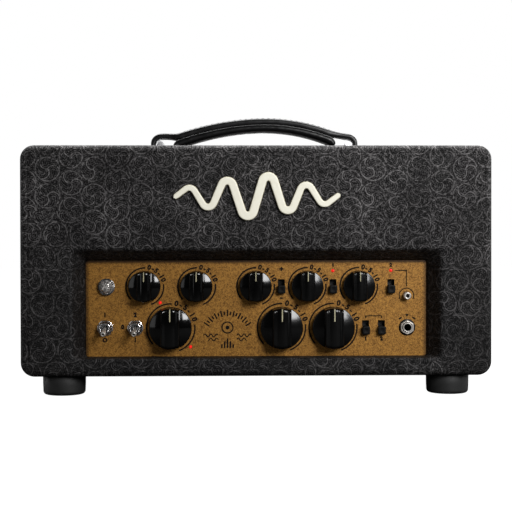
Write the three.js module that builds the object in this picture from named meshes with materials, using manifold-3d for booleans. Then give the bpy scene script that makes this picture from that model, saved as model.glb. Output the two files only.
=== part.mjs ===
// A compact valve guitar amplifier head: a vinyl-covered plywood box on four rubber feet, with a strap handle,
// a recessed control panel, and a steel chassis that carries the boards, valves, transformers and sockets.
// Millimetres, +Z up, controls facing -Y, origin at the centre of the base of the bounding box.
import * as THREE from "three";
import { mergeVertices } from "three/addons/utils/BufferGeometryUtils.js";
import Module from "manifold-3d";

const wasm = await Module();
wasm.setup();

// ---- Driving dimensions -------------------------------------------------------------------------------------

const GAP = 0.3; // between pieces that touch
const CABINET = { width: 474, depth: 235, height: 232, wall: 18, cornerRadius: 14, edgeRadius: 7 };
const FOOT = { radius: 21.8, baseRadius: 21, height: 20, insetX: 40.3, insetY: 31, recessRadius: 8, recessDepth: 9 };
const BADGE = { proud: 4, z: 201, half: 4.6, turnRadius: 6 };
const BADGE_CORNERS = [
  [-83, -2], [-66, 11], [-48, -18], [-29, 26], [-9, -34], [11, 34], [30, -26], [48, 18], [66, -11], [83, 2],
];
const BAFFLE = { thickness: 24, lipThickness: 6, rim: 8, bevel: 11.5, cornerRadius: 5 };
const WINDOW = { halfWidth: 173.8, height: 98.1 }; // the control opening at the back of the baffle
const CHASSIS = { width: 400, height: 102, steel: 1.6, rearSetback: 24.5 };
const FACEPLATE = { thickness: 2 };
const HANDLE = {
  pinX: 102.6, pinAbove: 9.3, pinRadius: 2.6,
  strapThickness: 6, strapWidth: 20, strapTop: 35, strapRadius: 232.6, neckX: 89,
  loopEndX: 112.6, loopTop: 17.6, loopCurve: 10, slotInner: 91.1, slotOuter: 106.6, slotHeight: 8.5,
  gripTop: 36.4, gripBottom: 21.2, gripBottomRadius: 205, gripHalfLength: 84, gripWidth: 27.4, gripBevel: 4,
};

const KNOB_PITCH = 52.8;
const LEFT_GROUP_X = -114;
const RIGHT_GROUP_X = -1;
const TOP_ROW_Z = 109.4;
const BOTTOM_ROW_Z = 67.3;
const SMALL_KNOB = { radius: 16.3, height: 17.5, barWidth: 12 };
const LARGE_KNOB = { radius: 21.6, height: 22, barWidth: 16 };
const POT = { bodyRadius: 8, bushingRadius: 4.6, bushingOut: 5, shaftRadius: 3, shaftHoleRadius: 3.5, holeRadius: 5 };
const TOGGLE = { bushingRadius: 5.9, bushingOut: 8, hole: 4.2, body: [14, 28], bodyDepth: 21, tilt: 15, leverLength: 19.4 };
const SLIDE = { slotWidth: 7.2, slotHeight: 14.5, width: 6.5, height: 8, out: 6, pocket: 4 };
const JACK = { bushingRadius: 4.75, boreRadius: 3.3, boreDepth: 30, body: 16, bodyLength: 25, out: 5 };
const LED_RADIUS = 1.5;
const TRIM = { x: 153.6, z: 99.8, radius: 3.8, out: 9, recessRadius: 1.7, recessDepth: 3, bodyRadius: 5.8 };

const POTS = [
  { name: "reverb", x: LEFT_GROUP_X, z: TOP_ROW_Z, size: SMALL_KNOB },
  { name: "presence", x: LEFT_GROUP_X + KNOB_PITCH, z: TOP_ROW_Z, size: SMALL_KNOB },
  { name: "bass", x: RIGHT_GROUP_X, z: TOP_ROW_Z, size: SMALL_KNOB },
  { name: "middle", x: RIGHT_GROUP_X + KNOB_PITCH, z: TOP_ROW_Z, size: SMALL_KNOB },
  { name: "treble", x: RIGHT_GROUP_X + 2 * KNOB_PITCH, z: TOP_ROW_Z, size: SMALL_KNOB },
  { name: "effects", x: LEFT_GROUP_X + KNOB_PITCH / 2, z: BOTTOM_ROW_Z, size: LARGE_KNOB },
  { name: "loudness", x: RIGHT_GROUP_X + KNOB_PITCH / 2, z: BOTTOM_ROW_Z, size: LARGE_KNOB },
  { name: "gain", x: RIGHT_GROUP_X + 1.5 * KNOB_PITCH, z: BOTTOM_ROW_Z, size: LARGE_KNOB },
];
const SLIDES = [
  { name: "bass_shift", x: RIGHT_GROUP_X + KNOB_PITCH / 2, z: TOP_ROW_Z },
  { name: "middle_shift", x: RIGHT_GROUP_X + 1.5 * KNOB_PITCH, z: TOP_ROW_Z },
  { name: "boost", x: 137.6, z: TOP_ROW_Z },
  { name: "contour_high", x: 111.7, z: BOTTOM_ROW_Z },
  { name: "contour_low", x: 127.9, z: BOTTOM_ROW_Z },
];
const TOGGLES = [
  { name: "power", x: -154.3, z: BOTTOM_ROW_Z },
  { name: "standby", x: -123.6, z: BOTTOM_ROW_Z },
];
const LEDS = [
  { name: "reverb", x: -98.4, z: 93 },
  { name: "effects", x: -67.5, z: 47.8 },
  { name: "middle", x: RIGHT_GROUP_X + 1.5 * KNOB_PITCH, z: 125.4 },
  { name: "boost", x: 137.6, z: 125.6 },
];
const PILOT = { x: -152.8, z: TOP_ROW_Z, bezelRadius: 8.6, tubeRadius: 5.8, jewelRadius: 7.2 };
const INPUT = { x: 154.2, z: BOTTOM_ROW_Z };
const REAR_JACKS = { count: 5, firstX: 40, pitch: 32, z: 86 };
const INLET = { x: -150, z: 88, width: 50, height: 28, cavity: [24, 16, 18] };
const FUSE = { x: -95, z: 88, radius: 8.5, out: 10 };

const POWER_VALVES = { xs: [42, 98], y: 58, baseRadius: 17, bulbRadius: 19, height: 80, socketRadius: 13 };
const PREAMP_VALVES = { xs: [25, 67, 109, 151], y: -40, radius: 10.5, height: 48, socketRadius: 9 };
const POWER_IRON = { x: -145, y: 46, size: [88, 74, 80] };
const OUTPUT_IRON = { x: -50, y: 60, size: [72, 60, 66] };
const CHOKE = { x: -150, y: -50, size: [52, 42, 44] };
const TANK = { x: 40, y: -30, length: 235, width: 108, height: 33, steel: 1 };

// ---- Places worked out from them ----------------------------------------------------------------------------

const frontY = (BADGE.proud - CABINET.depth) / 2;
const rearY = frontY + CABINET.depth;
const bottomZ = FOOT.height;
const topZ = bottomZ + CABINET.height;
const innerX = CABINET.width / 2 - CABINET.wall;
const innerBottomZ = bottomZ + CABINET.wall;
const innerTopZ = topZ - CABINET.wall;
const baffleBackY = frontY + BAFFLE.thickness;
const plateFrontY = baffleBackY + GAP;
const plateBackY = plateFrontY + FACEPLATE.thickness;
const chassisFrontY = plateBackY + GAP;
const chassisInsideY = chassisFrontY + CHASSIS.steel + GAP;
const chassisRearY = rearY - CHASSIS.rearSetback;
const chassisRearInsideY = chassisRearY - CHASSIS.steel - GAP;
const chassisBaseZ = innerBottomZ + GAP;
const deckZ = chassisBaseZ + CHASSIS.height;
const controlBoardY = -68;

// ---- Small helpers ------------------------------------------------------------------------------------------

// A closed geometry as a manifold solid with its faces pointing out.
function solid(geometry) {
  const loose = geometry.index ? geometry.toNonIndexed() : geometry;
  const bare = new THREE.BufferGeometry().setAttribute("position", loose.getAttribute("position"));
  const merged = mergeVertices(bare, 1e-3);
  const vertProperties = new Float32Array(merged.attributes.position.array);
  const triVerts = new Uint32Array(merged.index.array);
  const made = new wasm.Manifold(new wasm.Mesh({ numProp: 3, vertProperties, triVerts }));
  if (made.volume() > 0) return made;
  for (let i = 0; i < triVerts.length; i += 3) [triVerts[i], triVerts[i + 1]] = [triVerts[i + 1], triVerts[i]];
  return new wasm.Manifold(new wasm.Mesh({ numProp: 3, vertProperties, triVerts }));
}

const asSolid = (shape) => (shape.isBufferGeometry ? solid(shape) : shape);
const join = (...shapes) => shapes.map(asSolid).reduce((a, b) => a.add(b));
const cut = (base, ...tools) => tools.map(asSolid).reduce((a, b) => a.subtract(b), asSolid(base));
const common = (a, b) => asSolid(a).intersect(asSolid(b));

function geometryOf(made) {
  const mesh = made.getMesh();
  const geometry = new THREE.BufferGeometry();
  geometry.setAttribute("position", new THREE.BufferAttribute(new Float32Array(mesh.vertProperties), 3));
  geometry.setIndex(new THREE.BufferAttribute(new Uint32Array(mesh.triVerts), 1));
  geometry.computeVertexNormals();
  return geometry;
}

const head = new THREE.Group();

function piece(name, shape, material, position = [0, 0, 0]) {
  const mesh = new THREE.Mesh(geometryOf(asSolid(shape)), material);
  mesh.name = name;
  mesh.position.set(...position);
  head.add(mesh);
  return mesh;
}

// A box from its lowest to its highest corner.
function box(x0, x1, y0, y1, z0, z1) {
  return new THREE.BoxGeometry(x1 - x0, y1 - y0, z1 - z0).translate((x0 + x1) / 2, (y0 + y1) / 2, (z0 + z1) / 2);
}

// A box centred at x and z, from y0 to y1.
const block = (x, z, width, height, y0, y1) =>
  box(x - width / 2, x + width / 2, y0, y1, z - height / 2, z + height / 2);

// A cylinder along Y at x and z, from y0 to y1.
const rodY = (x, z, radius, y0, y1, sides = 12) =>
  new THREE.CylinderGeometry(radius, radius, y1 - y0, sides).translate(x, (y0 + y1) / 2, z);

// A cylinder along Z at x and y, from z0 to z1.
const rodZ = (x, y, radius, z0, z1, sides = 12) =>
  new THREE.CylinderGeometry(radius, radius, z1 - z0, sides).rotateX(Math.PI / 2).translate(x, y, (z0 + z1) / 2);

// A solid of revolution about Y. Each point is [radius, distance out towards -Y].
const turnedY = (points, sides) =>
  new THREE.LatheGeometry(points.map(([r, out]) => new THREE.Vector2(r, -out)), sides);

// A solid of revolution about Z. Each point is [radius, height].
const turnedZ = (points, sides) =>
  new THREE.LatheGeometry(points.map(([r, z]) => new THREE.Vector2(r, z)), sides).rotateX(Math.PI / 2);

// A shape drawn in X and Z, extruded from y0 to y1.
function extrudeY(shape, y0, y1, options = {}) {
  const depth = y1 - y0;
  return new THREE.ExtrudeGeometry(shape, { depth, bevelEnabled: false, curveSegments: 4, ...options })
    .rotateX(Math.PI / 2)
    .translate(0, y1, 0);
}

function roundedRect(x0, x1, z0, z1, radius) {
  const shape = new THREE.Shape();
  shape.absarc(x1 - radius, z1 - radius, radius, 0, Math.PI / 2);
  shape.absarc(x0 + radius, z1 - radius, radius, Math.PI / 2, Math.PI);
  shape.absarc(x0 + radius, z0 + radius, radius, Math.PI, 1.5 * Math.PI);
  shape.absarc(x1 - radius, z0 + radius, radius, 1.5 * Math.PI, 2 * Math.PI);
  shape.closePath();
  return shape;
}

function finish(color, roughness, metalness = 0) {
  return new THREE.MeshStandardMaterial({ color, roughness, metalness });
}

const vinyl = finish(0x242426, 0.75);
const vinylBlack = finish(0x101012, 0.45);
const cream = finish(0xe6ddc2, 0.5);
const goldPaint = finish(0x9a6b2e, 0.55, 0.3);
const steel = finish(0x8f9194, 0.45, 0.9);
const chrome = finish(0xd8dadd, 0.12, 1);
const rubber = finish(0x161617, 0.8);
const glossBlack = finish(0x050506, 0.12);
const matteBlack = finish(0x111112, 0.6);
const redLens = finish(0xe01010, 0.3);
const clearLens = finish(0xb8bab8, 0.15);
const glass = finish(0xc9cfd0, 0.08);
const circuitBoard = finish(0x2f5a35, 0.5);
const transformerBlack = finish(0x1b1b1d, 0.5, 0.4);
const zinc = finish(0xb5b7b3, 0.4, 0.8);

// ---- Cabinet ------------------------------------------------------------------------------------------------

// A front-to-back tube of plywood boards with rounded corners and edges, rebated in front for the baffle's lip.
function cabinetShell() {
  const e = CABINET.edgeRadius;
  const halfWidth = CABINET.width / 2;
  const outline = roundedRect(e - halfWidth, halfWidth - e, bottomZ + e, topZ - e, CABINET.cornerRadius - e);
  const outer = extrudeY(outline, frontY + e, rearY - e, {
    bevelEnabled: true, bevelSize: e, bevelThickness: e, bevelSegments: 3, curveSegments: 3,
  });
  const inside = box(-innerX, innerX, frontY - 1, rearY + 1, innerBottomZ, innerTopZ);
  const rimX = halfWidth - BAFFLE.rim;
  const rebate = box(
    -rimX, rimX, frontY - 1, frontY + BAFFLE.lipThickness + GAP, bottomZ + BAFFLE.rim, topZ - BAFFLE.rim,
  );
  return cut(outer, inside, rebate);
}

// The front board: a lip let into the shell's rebate, a thick body behind it, and a bevelled control opening.
function frontBaffle() {
  const lipX = CABINET.width / 2 - BAFFLE.rim - GAP;
  const lip = box(
    -lipX, lipX, frontY, frontY + BAFFLE.lipThickness,
    bottomZ + BAFFLE.rim + GAP, topZ - BAFFLE.rim - GAP,
  );
  const bodyX = innerX - GAP;
  const body = box(-bodyX, bodyX, frontY + 1, baffleBackY, innerBottomZ + GAP, innerTopZ - GAP);
  const windowTop = innerBottomZ + WINDOW.height;
  const outline = roundedRect(
    -WINDOW.halfWidth, WINDOW.halfWidth, bottomZ, windowTop, BAFFLE.cornerRadius,
  );
  const reach = 4; // how far the cutter runs past the front and back faces
  const bevel = extrudeY(outline, frontY - reach, frontY, {
    bevelEnabled: true, bevelThickness: BAFFLE.thickness, bevelSize: BAFFLE.bevel, bevelSegments: 1,
  });
  const mouth = extrudeY(outline, baffleBackY - 1, baffleBackY + reach);
  const aboveRail = box(-innerX, innerX, frontY - 2 * reach, baffleBackY + 2 * reach, innerBottomZ, topZ);
  return cut(join(lip, body), common(join(bevel, mouth), aboveRail));
}

// Points along a zigzag of [x, z] corners whose turns are arcs of a radius.
function roundedPath(corners, radius, steps) {
  const at = corners.map(([x, z]) => new THREE.Vector2(x, z));
  const path = [at[0]];
  for (let i = 1; i < at.length - 1; i++) {
    const arriving = at[i].clone().sub(at[i - 1]).normalize();
    const leaving = at[i + 1].clone().sub(at[i]).normalize();
    const turn = Math.atan2(arriving.cross(leaving), arriving.dot(leaving));
    const start = at[i].clone().addScaledVector(arriving, -radius * Math.tan(Math.abs(turn) / 2));
    const spoke = new THREE.Vector2(-arriving.y, arriving.x).multiplyScalar(radius * Math.sign(turn));
    const centre = start.clone().add(spoke);
    for (let k = 0; k <= steps; k++) {
      path.push(centre.clone().sub(spoke.clone().rotateAround(new THREE.Vector2(), (turn * k) / steps)));
    }
  }
  return [...path, at.at(-1)];
}

// A raised ornament: one ribbon along a wave whose swing grows to the middle and dies away again.
function frontBadge() {
  const path = roundedPath(BADGE_CORNERS.map(([x, z]) => [x, BADGE.z + z]), BADGE.turnRadius, 6);
  const left = [];
  const right = [];
  const run = path.slice(1).map((p, i) => p.distanceTo(path[i]));
  const length = run.reduce((a, b) => a + b);
  let along = 0;
  path.forEach((here, i) => {
    const before = path[Math.max(0, i - 1)];
    const after = path[Math.min(path.length - 1, i + 1)];
    const heading = after.clone().sub(before).normalize();
    const half = BADGE.half * (0.62 + 0.38 * Math.sin((Math.PI * along) / length));
    left.push(new THREE.Vector2(here.x - heading.y * half, here.y + heading.x * half));
    right.push(new THREE.Vector2(here.x + heading.y * half, here.y - heading.x * half));
    along += run[i] ?? 0;
  });
  const outline = new THREE.Shape([...left, ...right.reverse()]);
  return extrudeY(outline, frontY - BADGE.proud, frontY - GAP);
}

const BACK = { thickness: 12, setback: 6, baseZ: 145, ventHalfWidth: 150, ventBottom: 166, ventTop: 214 };
const backOuterY = rearY - BACK.setback;
const backInnerY = backOuterY - BACK.thickness;
const GRILLE = { steel: 1.2, lap: 8, columns: 28, rows: 2, slotWidth: 3.8, slotHeight: 19 };

function backPanel() {
  const board = box(-innerX + GAP, innerX - GAP, backInnerY, backOuterY, BACK.baseZ, innerTopZ - GAP);
  const vent = box(
    -BACK.ventHalfWidth, BACK.ventHalfWidth, backInnerY - 1, backOuterY + 1, BACK.ventBottom, BACK.ventTop,
  );
  return cut(board, vent);
}

function rearGrille() {
  const y1 = backInnerY - GAP;
  const y0 = y1 - GRILLE.steel;
  const halfWidth = BACK.ventHalfWidth + GRILLE.lap;
  const sheet = box(-halfWidth, halfWidth, y0, y1, BACK.ventBottom - GRILLE.lap, BACK.ventTop + GRILLE.lap);
  const slots = [];
  for (let column = 0; column < GRILLE.columns; column++) {
    for (let row = 0; row < GRILLE.rows; row++) {
      const x = (column + 0.5 - GRILLE.columns / 2) * ((2 * BACK.ventHalfWidth) / GRILLE.columns);
      const middle = (BACK.ventBottom + BACK.ventTop) / 2;
      const z = middle + (row + 0.5 - GRILLE.rows / 2) * ((BACK.ventTop - BACK.ventBottom) / GRILLE.rows);
      slots.push(block(x, z, GRILLE.slotWidth, GRILLE.slotHeight, y0 - 1, y1 + 1));
    }
  }
  return cut(sheet, ...slots);
}

piece("cabinet_shell", cabinetShell(), vinyl);
piece("front_baffle", frontBaffle(), vinyl);
piece("front_badge", frontBadge(), cream);
piece("back_panel", backPanel(), vinyl);
piece("rear_grille", rearGrille(), matteBlack);

// ---- Feet ---------------------------------------------------------------------------------------------------

const footX = CABINET.width / 2 - FOOT.insetX;
const footProfile = [
  [0, FOOT.height - GAP], [FOOT.radius, FOOT.height - GAP], [FOOT.radius - 0.4, 3], [FOOT.baseRadius - 2.5, 0],
  [FOOT.recessRadius, 0], [FOOT.recessRadius, FOOT.recessDepth], [0, FOOT.recessDepth],
];
for (const [end, y] of [["front", frontY + FOOT.insetY], ["rear", rearY - FOOT.insetY]]) {
  for (const [side, x] of [["left", -footX], ["right", footX]]) {
    piece(`foot_${end}_${side}`, turnedZ(footProfile, 16), rubber, [x, y, 0]);
  }
}

// ---- Handle -------------------------------------------------------------------------------------------------

const handleY = (frontY + rearY) / 2;
const strapCentreZ = topZ + HANDLE.strapTop - HANDLE.strapRadius; // centre of the strap's arc
const pinZ = topZ + HANDLE.pinAbove;
const slotTop = pinZ + HANDLE.pinRadius + GAP;

// The strap's band between two angles of its arc, which is what fills the grip.
function strapBand(spread, halfWidth, halfX) {
  const outerRadius = HANDLE.strapRadius + spread;
  const innerRadius = HANDLE.strapRadius - HANDLE.strapThickness - spread;
  const angle = Math.asin(halfX / innerRadius);
  const shape = new THREE.Shape();
  shape.absarc(0, strapCentreZ, outerRadius, Math.PI / 2 - angle, Math.PI / 2 + angle);
  shape.absarc(0, strapCentreZ, innerRadius, Math.PI / 2 + angle, Math.PI / 2 - angle, true);
  shape.closePath();
  return extrudeY(shape, handleY - halfWidth, handleY + halfWidth, { curveSegments: 8 });
}

// One end of the strap: a loop with a long slot that hangs on the bracket's pin.
function strapLoop(side) {
  const shape = new THREE.Shape();
  const topCurve = HANDLE.loopCurve;
  const baseZ = topZ + 0.5;
  const loopTop = topZ + HANDLE.loopTop;
  shape.moveTo(HANDLE.neckX - 4, loopTop + 0.8);
  shape.lineTo(HANDLE.loopEndX - topCurve, loopTop);
  shape.absarc(HANDLE.loopEndX - topCurve, loopTop - topCurve, topCurve, Math.PI / 2, 0, true);
  shape.lineTo(HANDLE.loopEndX, baseZ + 2.5);
  shape.absarc(HANDLE.loopEndX - 2.5, baseZ + 2.5, 2.5, 0, -Math.PI / 2, true);
  shape.lineTo(HANDLE.slotInner - 1, baseZ);
  shape.lineTo(HANDLE.slotInner - 5.5, baseZ + 5);
  shape.lineTo(HANDLE.neckX - 4, loopTop - HANDLE.strapThickness + 1.5);
  shape.closePath();
  shape.holes.push(roundedRect(
    HANDLE.slotInner, HANDLE.slotOuter, slotTop - HANDLE.slotHeight, slotTop, 2.5,
  ));
  const half = HANDLE.strapWidth / 2;
  const loop = solid(extrudeY(shape, handleY - half, handleY + half, { curveSegments: 3 }));
  return side < 0 ? loop.mirror([1, 0, 0]) : loop;
}

function handleGrip() {
  const e = HANDLE.gripBevel;
  const x = HANDLE.gripHalfLength - e;
  const topRadius = HANDLE.strapRadius + HANDLE.gripTop - HANDLE.strapTop - e;
  const bottomRadius = HANDLE.gripBottomRadius + e;
  const bottomCentre = topZ + HANDLE.gripBottom - HANDLE.gripBottomRadius;
  const topAngle = Math.asin(x / topRadius);
  const bottomAngle = Math.asin(x / bottomRadius);
  const shape = new THREE.Shape();
  shape.absarc(0, strapCentreZ, topRadius, Math.PI / 2 - topAngle, Math.PI / 2 + topAngle);
  shape.absarc(0, bottomCentre, bottomRadius, Math.PI / 2 + bottomAngle, Math.PI / 2 - bottomAngle, true);
  shape.closePath();
  const half = HANDLE.gripWidth / 2 - e;
  const body = extrudeY(shape, handleY - half, handleY + half, {
    bevelEnabled: true, bevelSize: e, bevelThickness: e, bevelSegments: 2, curveSegments: 8,
  });
  return cut(body, strapBand(GAP, HANDLE.strapWidth / 2 + GAP, HANDLE.gripHalfLength + 6));
}

// Two angled ears, screwed down either side of the loop, joined by the riveted pin that the loop hangs on.
function handleBracket(x) {
  const ear = { inner: HANDLE.strapWidth / 2 + 0.6, thickness: 1.8, halfWidth: 3.6, flange: 12, holeRadius: 2 };
  const baseZ = topZ + GAP;
  const face = new THREE.Shape();
  face.moveTo(x + ear.halfWidth, baseZ);
  face.absarc(x, pinZ, ear.halfWidth, 0, Math.PI);
  face.lineTo(x - ear.halfWidth, baseZ);
  face.closePath();
  const outer = ear.inner + ear.thickness;
  let bracket = solid(rodY(x, pinZ, HANDLE.pinRadius, handleY - outer - 1.2, handleY + outer + 1.2));
  for (const side of [-1, 1]) {
    const [a, b] = [handleY + side * ear.inner, handleY + side * outer].sort((p, q) => p - q);
    const [c, d] = [handleY + side * ear.inner, handleY + side * (outer + ear.flange)].sort((p, q) => p - q);
    const flange = box(x - 6, x + 6, c, d, baseZ, baseZ + ear.thickness);
    const hole = rodZ(x, handleY + side * (outer + ear.flange / 2), ear.holeRadius, baseZ - 1, baseZ + 4, 10);
    bracket = join(bracket, extrudeY(face, a, b), cut(flange, hole));
  }
  return bracket;
}

const strapOverlap = HANDLE.neckX - 2;
piece(
  "handle_strap",
  join(strapBand(0, HANDLE.strapWidth / 2, strapOverlap), strapLoop(-1), strapLoop(1)),
  vinylBlack,
);
piece("handle_grip", handleGrip(), vinylBlack);
piece("handle_bracket_left", handleBracket(-HANDLE.pinX), chrome);
piece("handle_bracket_right", handleBracket(HANDLE.pinX), chrome);

// ---- Chassis and faceplate ----------------------------------------------------------------------------------

// The holes that the front controls pass through, as cutters from y0 to y1.
function frontHoles(y0, y1) {
  return [
    ...POTS.map((p) => rodY(p.x, p.z, POT.holeRadius, y0, y1, 10)),
    ...TOGGLES.map((t) => rodY(t.x, t.z, TOGGLE.bushingRadius + 0.5, y0, y1, 12)),
    ...SLIDES.map((s) => block(s.x, s.z, SLIDE.slotWidth, SLIDE.slotHeight, y0, y1)),
    ...LEDS.map((l) => rodY(l.x, l.z, LED_RADIUS + 0.4, y0, y1, 8)),
    rodY(PILOT.x, PILOT.z, PILOT.tubeRadius + 0.5, y0, y1, 12),
    rodY(INPUT.x, INPUT.z, JACK.bushingRadius + 0.5, y0, y1, 12),
    rodY(TRIM.x, TRIM.z, TRIM.radius + 0.6, y0, y1, 10),
  ];
}

const rearJackX = Array.from({ length: REAR_JACKS.count }, (_, i) => REAR_JACKS.firstX + i * REAR_JACKS.pitch);

// An open-bottomed steel tray: its deck carries the valves and iron, its walls the controls and sockets.
function chassis() {
  const halfWidth = CHASSIS.width / 2;
  const t = CHASSIS.steel;
  const shell = box(-halfWidth, halfWidth, chassisFrontY, chassisRearY, chassisBaseZ, deckZ);
  const hollow = box(
    t - halfWidth, halfWidth - t, chassisFrontY + t, chassisRearY - t, chassisBaseZ - 1, deckZ - t,
  );
  const rear = [chassisRearY - t - 1, chassisRearY + 1];
  const tools = [
    hollow,
    ...frontHoles(chassisFrontY - 1, chassisFrontY + t + 1),
    ...rearJackX.map((x) => rodY(x, REAR_JACKS.z, JACK.bushingRadius + 0.5, ...rear, 10)),
    block(INLET.x, INLET.z, 29, 21, ...rear),
    rodY(FUSE.x, FUSE.z, 7, ...rear, 10),
    ...POWER_VALVES.xs.map((x) => rodZ(x, POWER_VALVES.y, POWER_VALVES.socketRadius + 0.5, deckZ - 3, deckZ + 1)),
    ...PREAMP_VALVES.xs.map((x) => rodZ(x, PREAMP_VALVES.y, PREAMP_VALVES.socketRadius + 0.5, deckZ - 3, deckZ + 1)),
  ];
  return cut(shell, ...tools);
}

function faceplate() {
  const halfWidth = CHASSIS.width / 2;
  const sheet = box(-halfWidth, halfWidth, plateFrontY, plateBackY, chassisBaseZ, deckZ);
  return cut(sheet, ...frontHoles(plateFrontY - 1, plateBackY + 1));
}

piece("chassis", chassis(), steel);
piece("faceplate", faceplate(), goldPaint);

// ---- Front controls -----------------------------------------------------------------------------------------

// A round knob with a low dome and a raised grip bar, on the shaft that it turns. y = 0 is the faceplate.
function knob({ radius, height, barWidth }) {
  const clearance = 1;
  const skirt = 4.5;
  const cavity = { radius: 7, depth: 7 };
  const turned = turnedY([
    [0, -8], [POT.shaftRadius, -8], [POT.shaftRadius, cavity.depth], [cavity.radius, cavity.depth],
    [cavity.radius, clearance], [radius, clearance], [radius, skirt], [radius * 0.82, height * 0.52],
    [radius * 0.45, height * 0.68], [0, height * 0.72],
  ], 18);
  const bar = box(-barWidth / 2, barWidth / 2, -height, -cavity.depth - 1, -radius, radius);
  const waist = new THREE.CylinderGeometry(radius - 0.3, radius - 4, height - skirt, 18)
    .translate(0, -(height + skirt) / 2, 0);
  return join(turned, common(bar, waist));
}

for (const pot of POTS) piece(`knob_${pot.name}`, knob(pot.size), glossBlack, [pot.x, plateFrontY, pot.z]);

for (const slide of SLIDES) {
  const bottom = slide.z - SLIDE.slotHeight / 2 + GAP;
  piece(
    `slider_${slide.name}`,
    block(
      slide.x, bottom + SLIDE.height / 2, SLIDE.width, SLIDE.height,
      plateFrontY - SLIDE.out, chassisInsideY + SLIDE.pocket - GAP,
    ),
    matteBlack,
  );
}

// A hexagonal nut with a round hole, its flats upright when turned is 0.
function hexNut(x, z, acrossFlats, hole, y0, y1) {
  const nut = new THREE.CylinderGeometry(acrossFlats / Math.sqrt(3), acrossFlats / Math.sqrt(3), y1 - y0, 6)
    .translate(x, (y0 + y1) / 2, z);
  return cut(nut, rodY(x, z, hole, y0 - 1, y1 + 1, 12));
}

for (const toggle of TOGGLES) {
  const bushing = cut(
    rodY(toggle.x, toggle.z, TOGGLE.bushingRadius, plateFrontY - TOGGLE.bushingOut, chassisInsideY + 1, 12),
    rodY(toggle.x, toggle.z, TOGGLE.hole, plateFrontY - TOGGLE.bushingOut - 1, chassisInsideY - 2, 10),
  );
  const body = block(toggle.x, toggle.z, ...TOGGLE.body, chassisInsideY, chassisInsideY + TOGGLE.bodyDepth);
  piece(`${toggle.name}_switch_body`, join(bushing, body), zinc);
  piece(
    `${toggle.name}_switch_nut`,
    hexNut(toggle.x, toggle.z, 14.3, TOGGLE.bushingRadius + GAP, plateFrontY - 2.9, plateFrontY - GAP),
    chrome,
  );
  const bat = turnedY([[0, -3], [1.6, -3], [1.6, 4], [2.8, 15.5], [2.3, 18.6], [0, TOGGLE.leverLength]], 10);
  bat.rotateX(THREE.MathUtils.degToRad(TOGGLE.tilt));
  piece(`${toggle.name}_switch_lever`, bat, chrome, [toggle.x, plateFrontY - TOGGLE.bushingOut / 2, toggle.z]);
}

for (const led of LEDS) {
  const lamp = turnedY([[0, -23], [LED_RADIUS, -23], [LED_RADIUS, 0.3], [0.8, 1.4], [0, 1.6]], 8);
  piece(`led_${led.name}`, lamp, redLens, [led.x, plateFrontY, led.z]);
}

const pilotBezel = turnedY([
  [4.6, -14], [PILOT.tubeRadius, -14], [PILOT.tubeRadius, GAP], [PILOT.bezelRadius, GAP],
  [PILOT.bezelRadius, 3.4], [PILOT.jewelRadius + GAP, 4], [PILOT.jewelRadius + GAP, 1.5], [4.6, 1.5], [4.6, -14],
], 16);
piece("pilot_bezel", pilotBezel, chrome, [PILOT.x, plateFrontY, PILOT.z]);
const jewel = turnedY([
  [0, 1.8], [PILOT.jewelRadius, 1.8], [PILOT.jewelRadius, 4.5], [PILOT.jewelRadius * 0.6, 7], [0, 7.6],
], 12);
piece("pilot_jewel", jewel, clearLens, [PILOT.x, plateFrontY, PILOT.z]);

// A quarter-inch jack: a square body behind the panel and a threaded bushing through it. toFront is -1 or 1.
function jackParts(x, z, insideY, outsideY, toFront) {
  const back = insideY - toFront * JACK.bodyLength;
  const mouth = outsideY + toFront * JACK.out;
  const span = (a, b) => [Math.min(a, b), Math.max(a, b)];
  return {
    body: join(
      block(x, z, JACK.body, JACK.body, ...span(back, insideY)),
      rodY(x, z, JACK.bushingRadius, ...span(insideY - toFront, mouth), 12),
    ),
    bore: rodY(x, z, JACK.boreRadius, ...span(mouth + toFront, mouth - toFront * JACK.boreDepth), 12),
  };
}

const inputParts = jackParts(INPUT.x, INPUT.z, chassisInsideY, plateFrontY, -1);
piece("input_jack", cut(inputParts.body, inputParts.bore), matteBlack);
piece(
  "input_jack_nut",
  hexNut(INPUT.x, INPUT.z, 13, JACK.bushingRadius + GAP, plateFrontY - 3.2, plateFrontY - GAP),
  chrome,
);

const trimFloor = TRIM.out - TRIM.recessDepth;
const trimShaft = turnedY([
  [0, -10], [TRIM.radius, -10], [TRIM.radius, TRIM.out], [TRIM.recessRadius, TRIM.out],
  [TRIM.recessRadius, trimFloor], [0, trimFloor],
], 12);
const trimSlot = box(-0.4, 0.4, -trimFloor - 0.5, 1 - trimFloor, -TRIM.recessRadius + 0.2, TRIM.recessRadius - 0.2);
piece("boost_trim_shaft", cut(trimShaft, trimSlot), chrome, [TRIM.x, plateFrontY, TRIM.z]);

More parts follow.
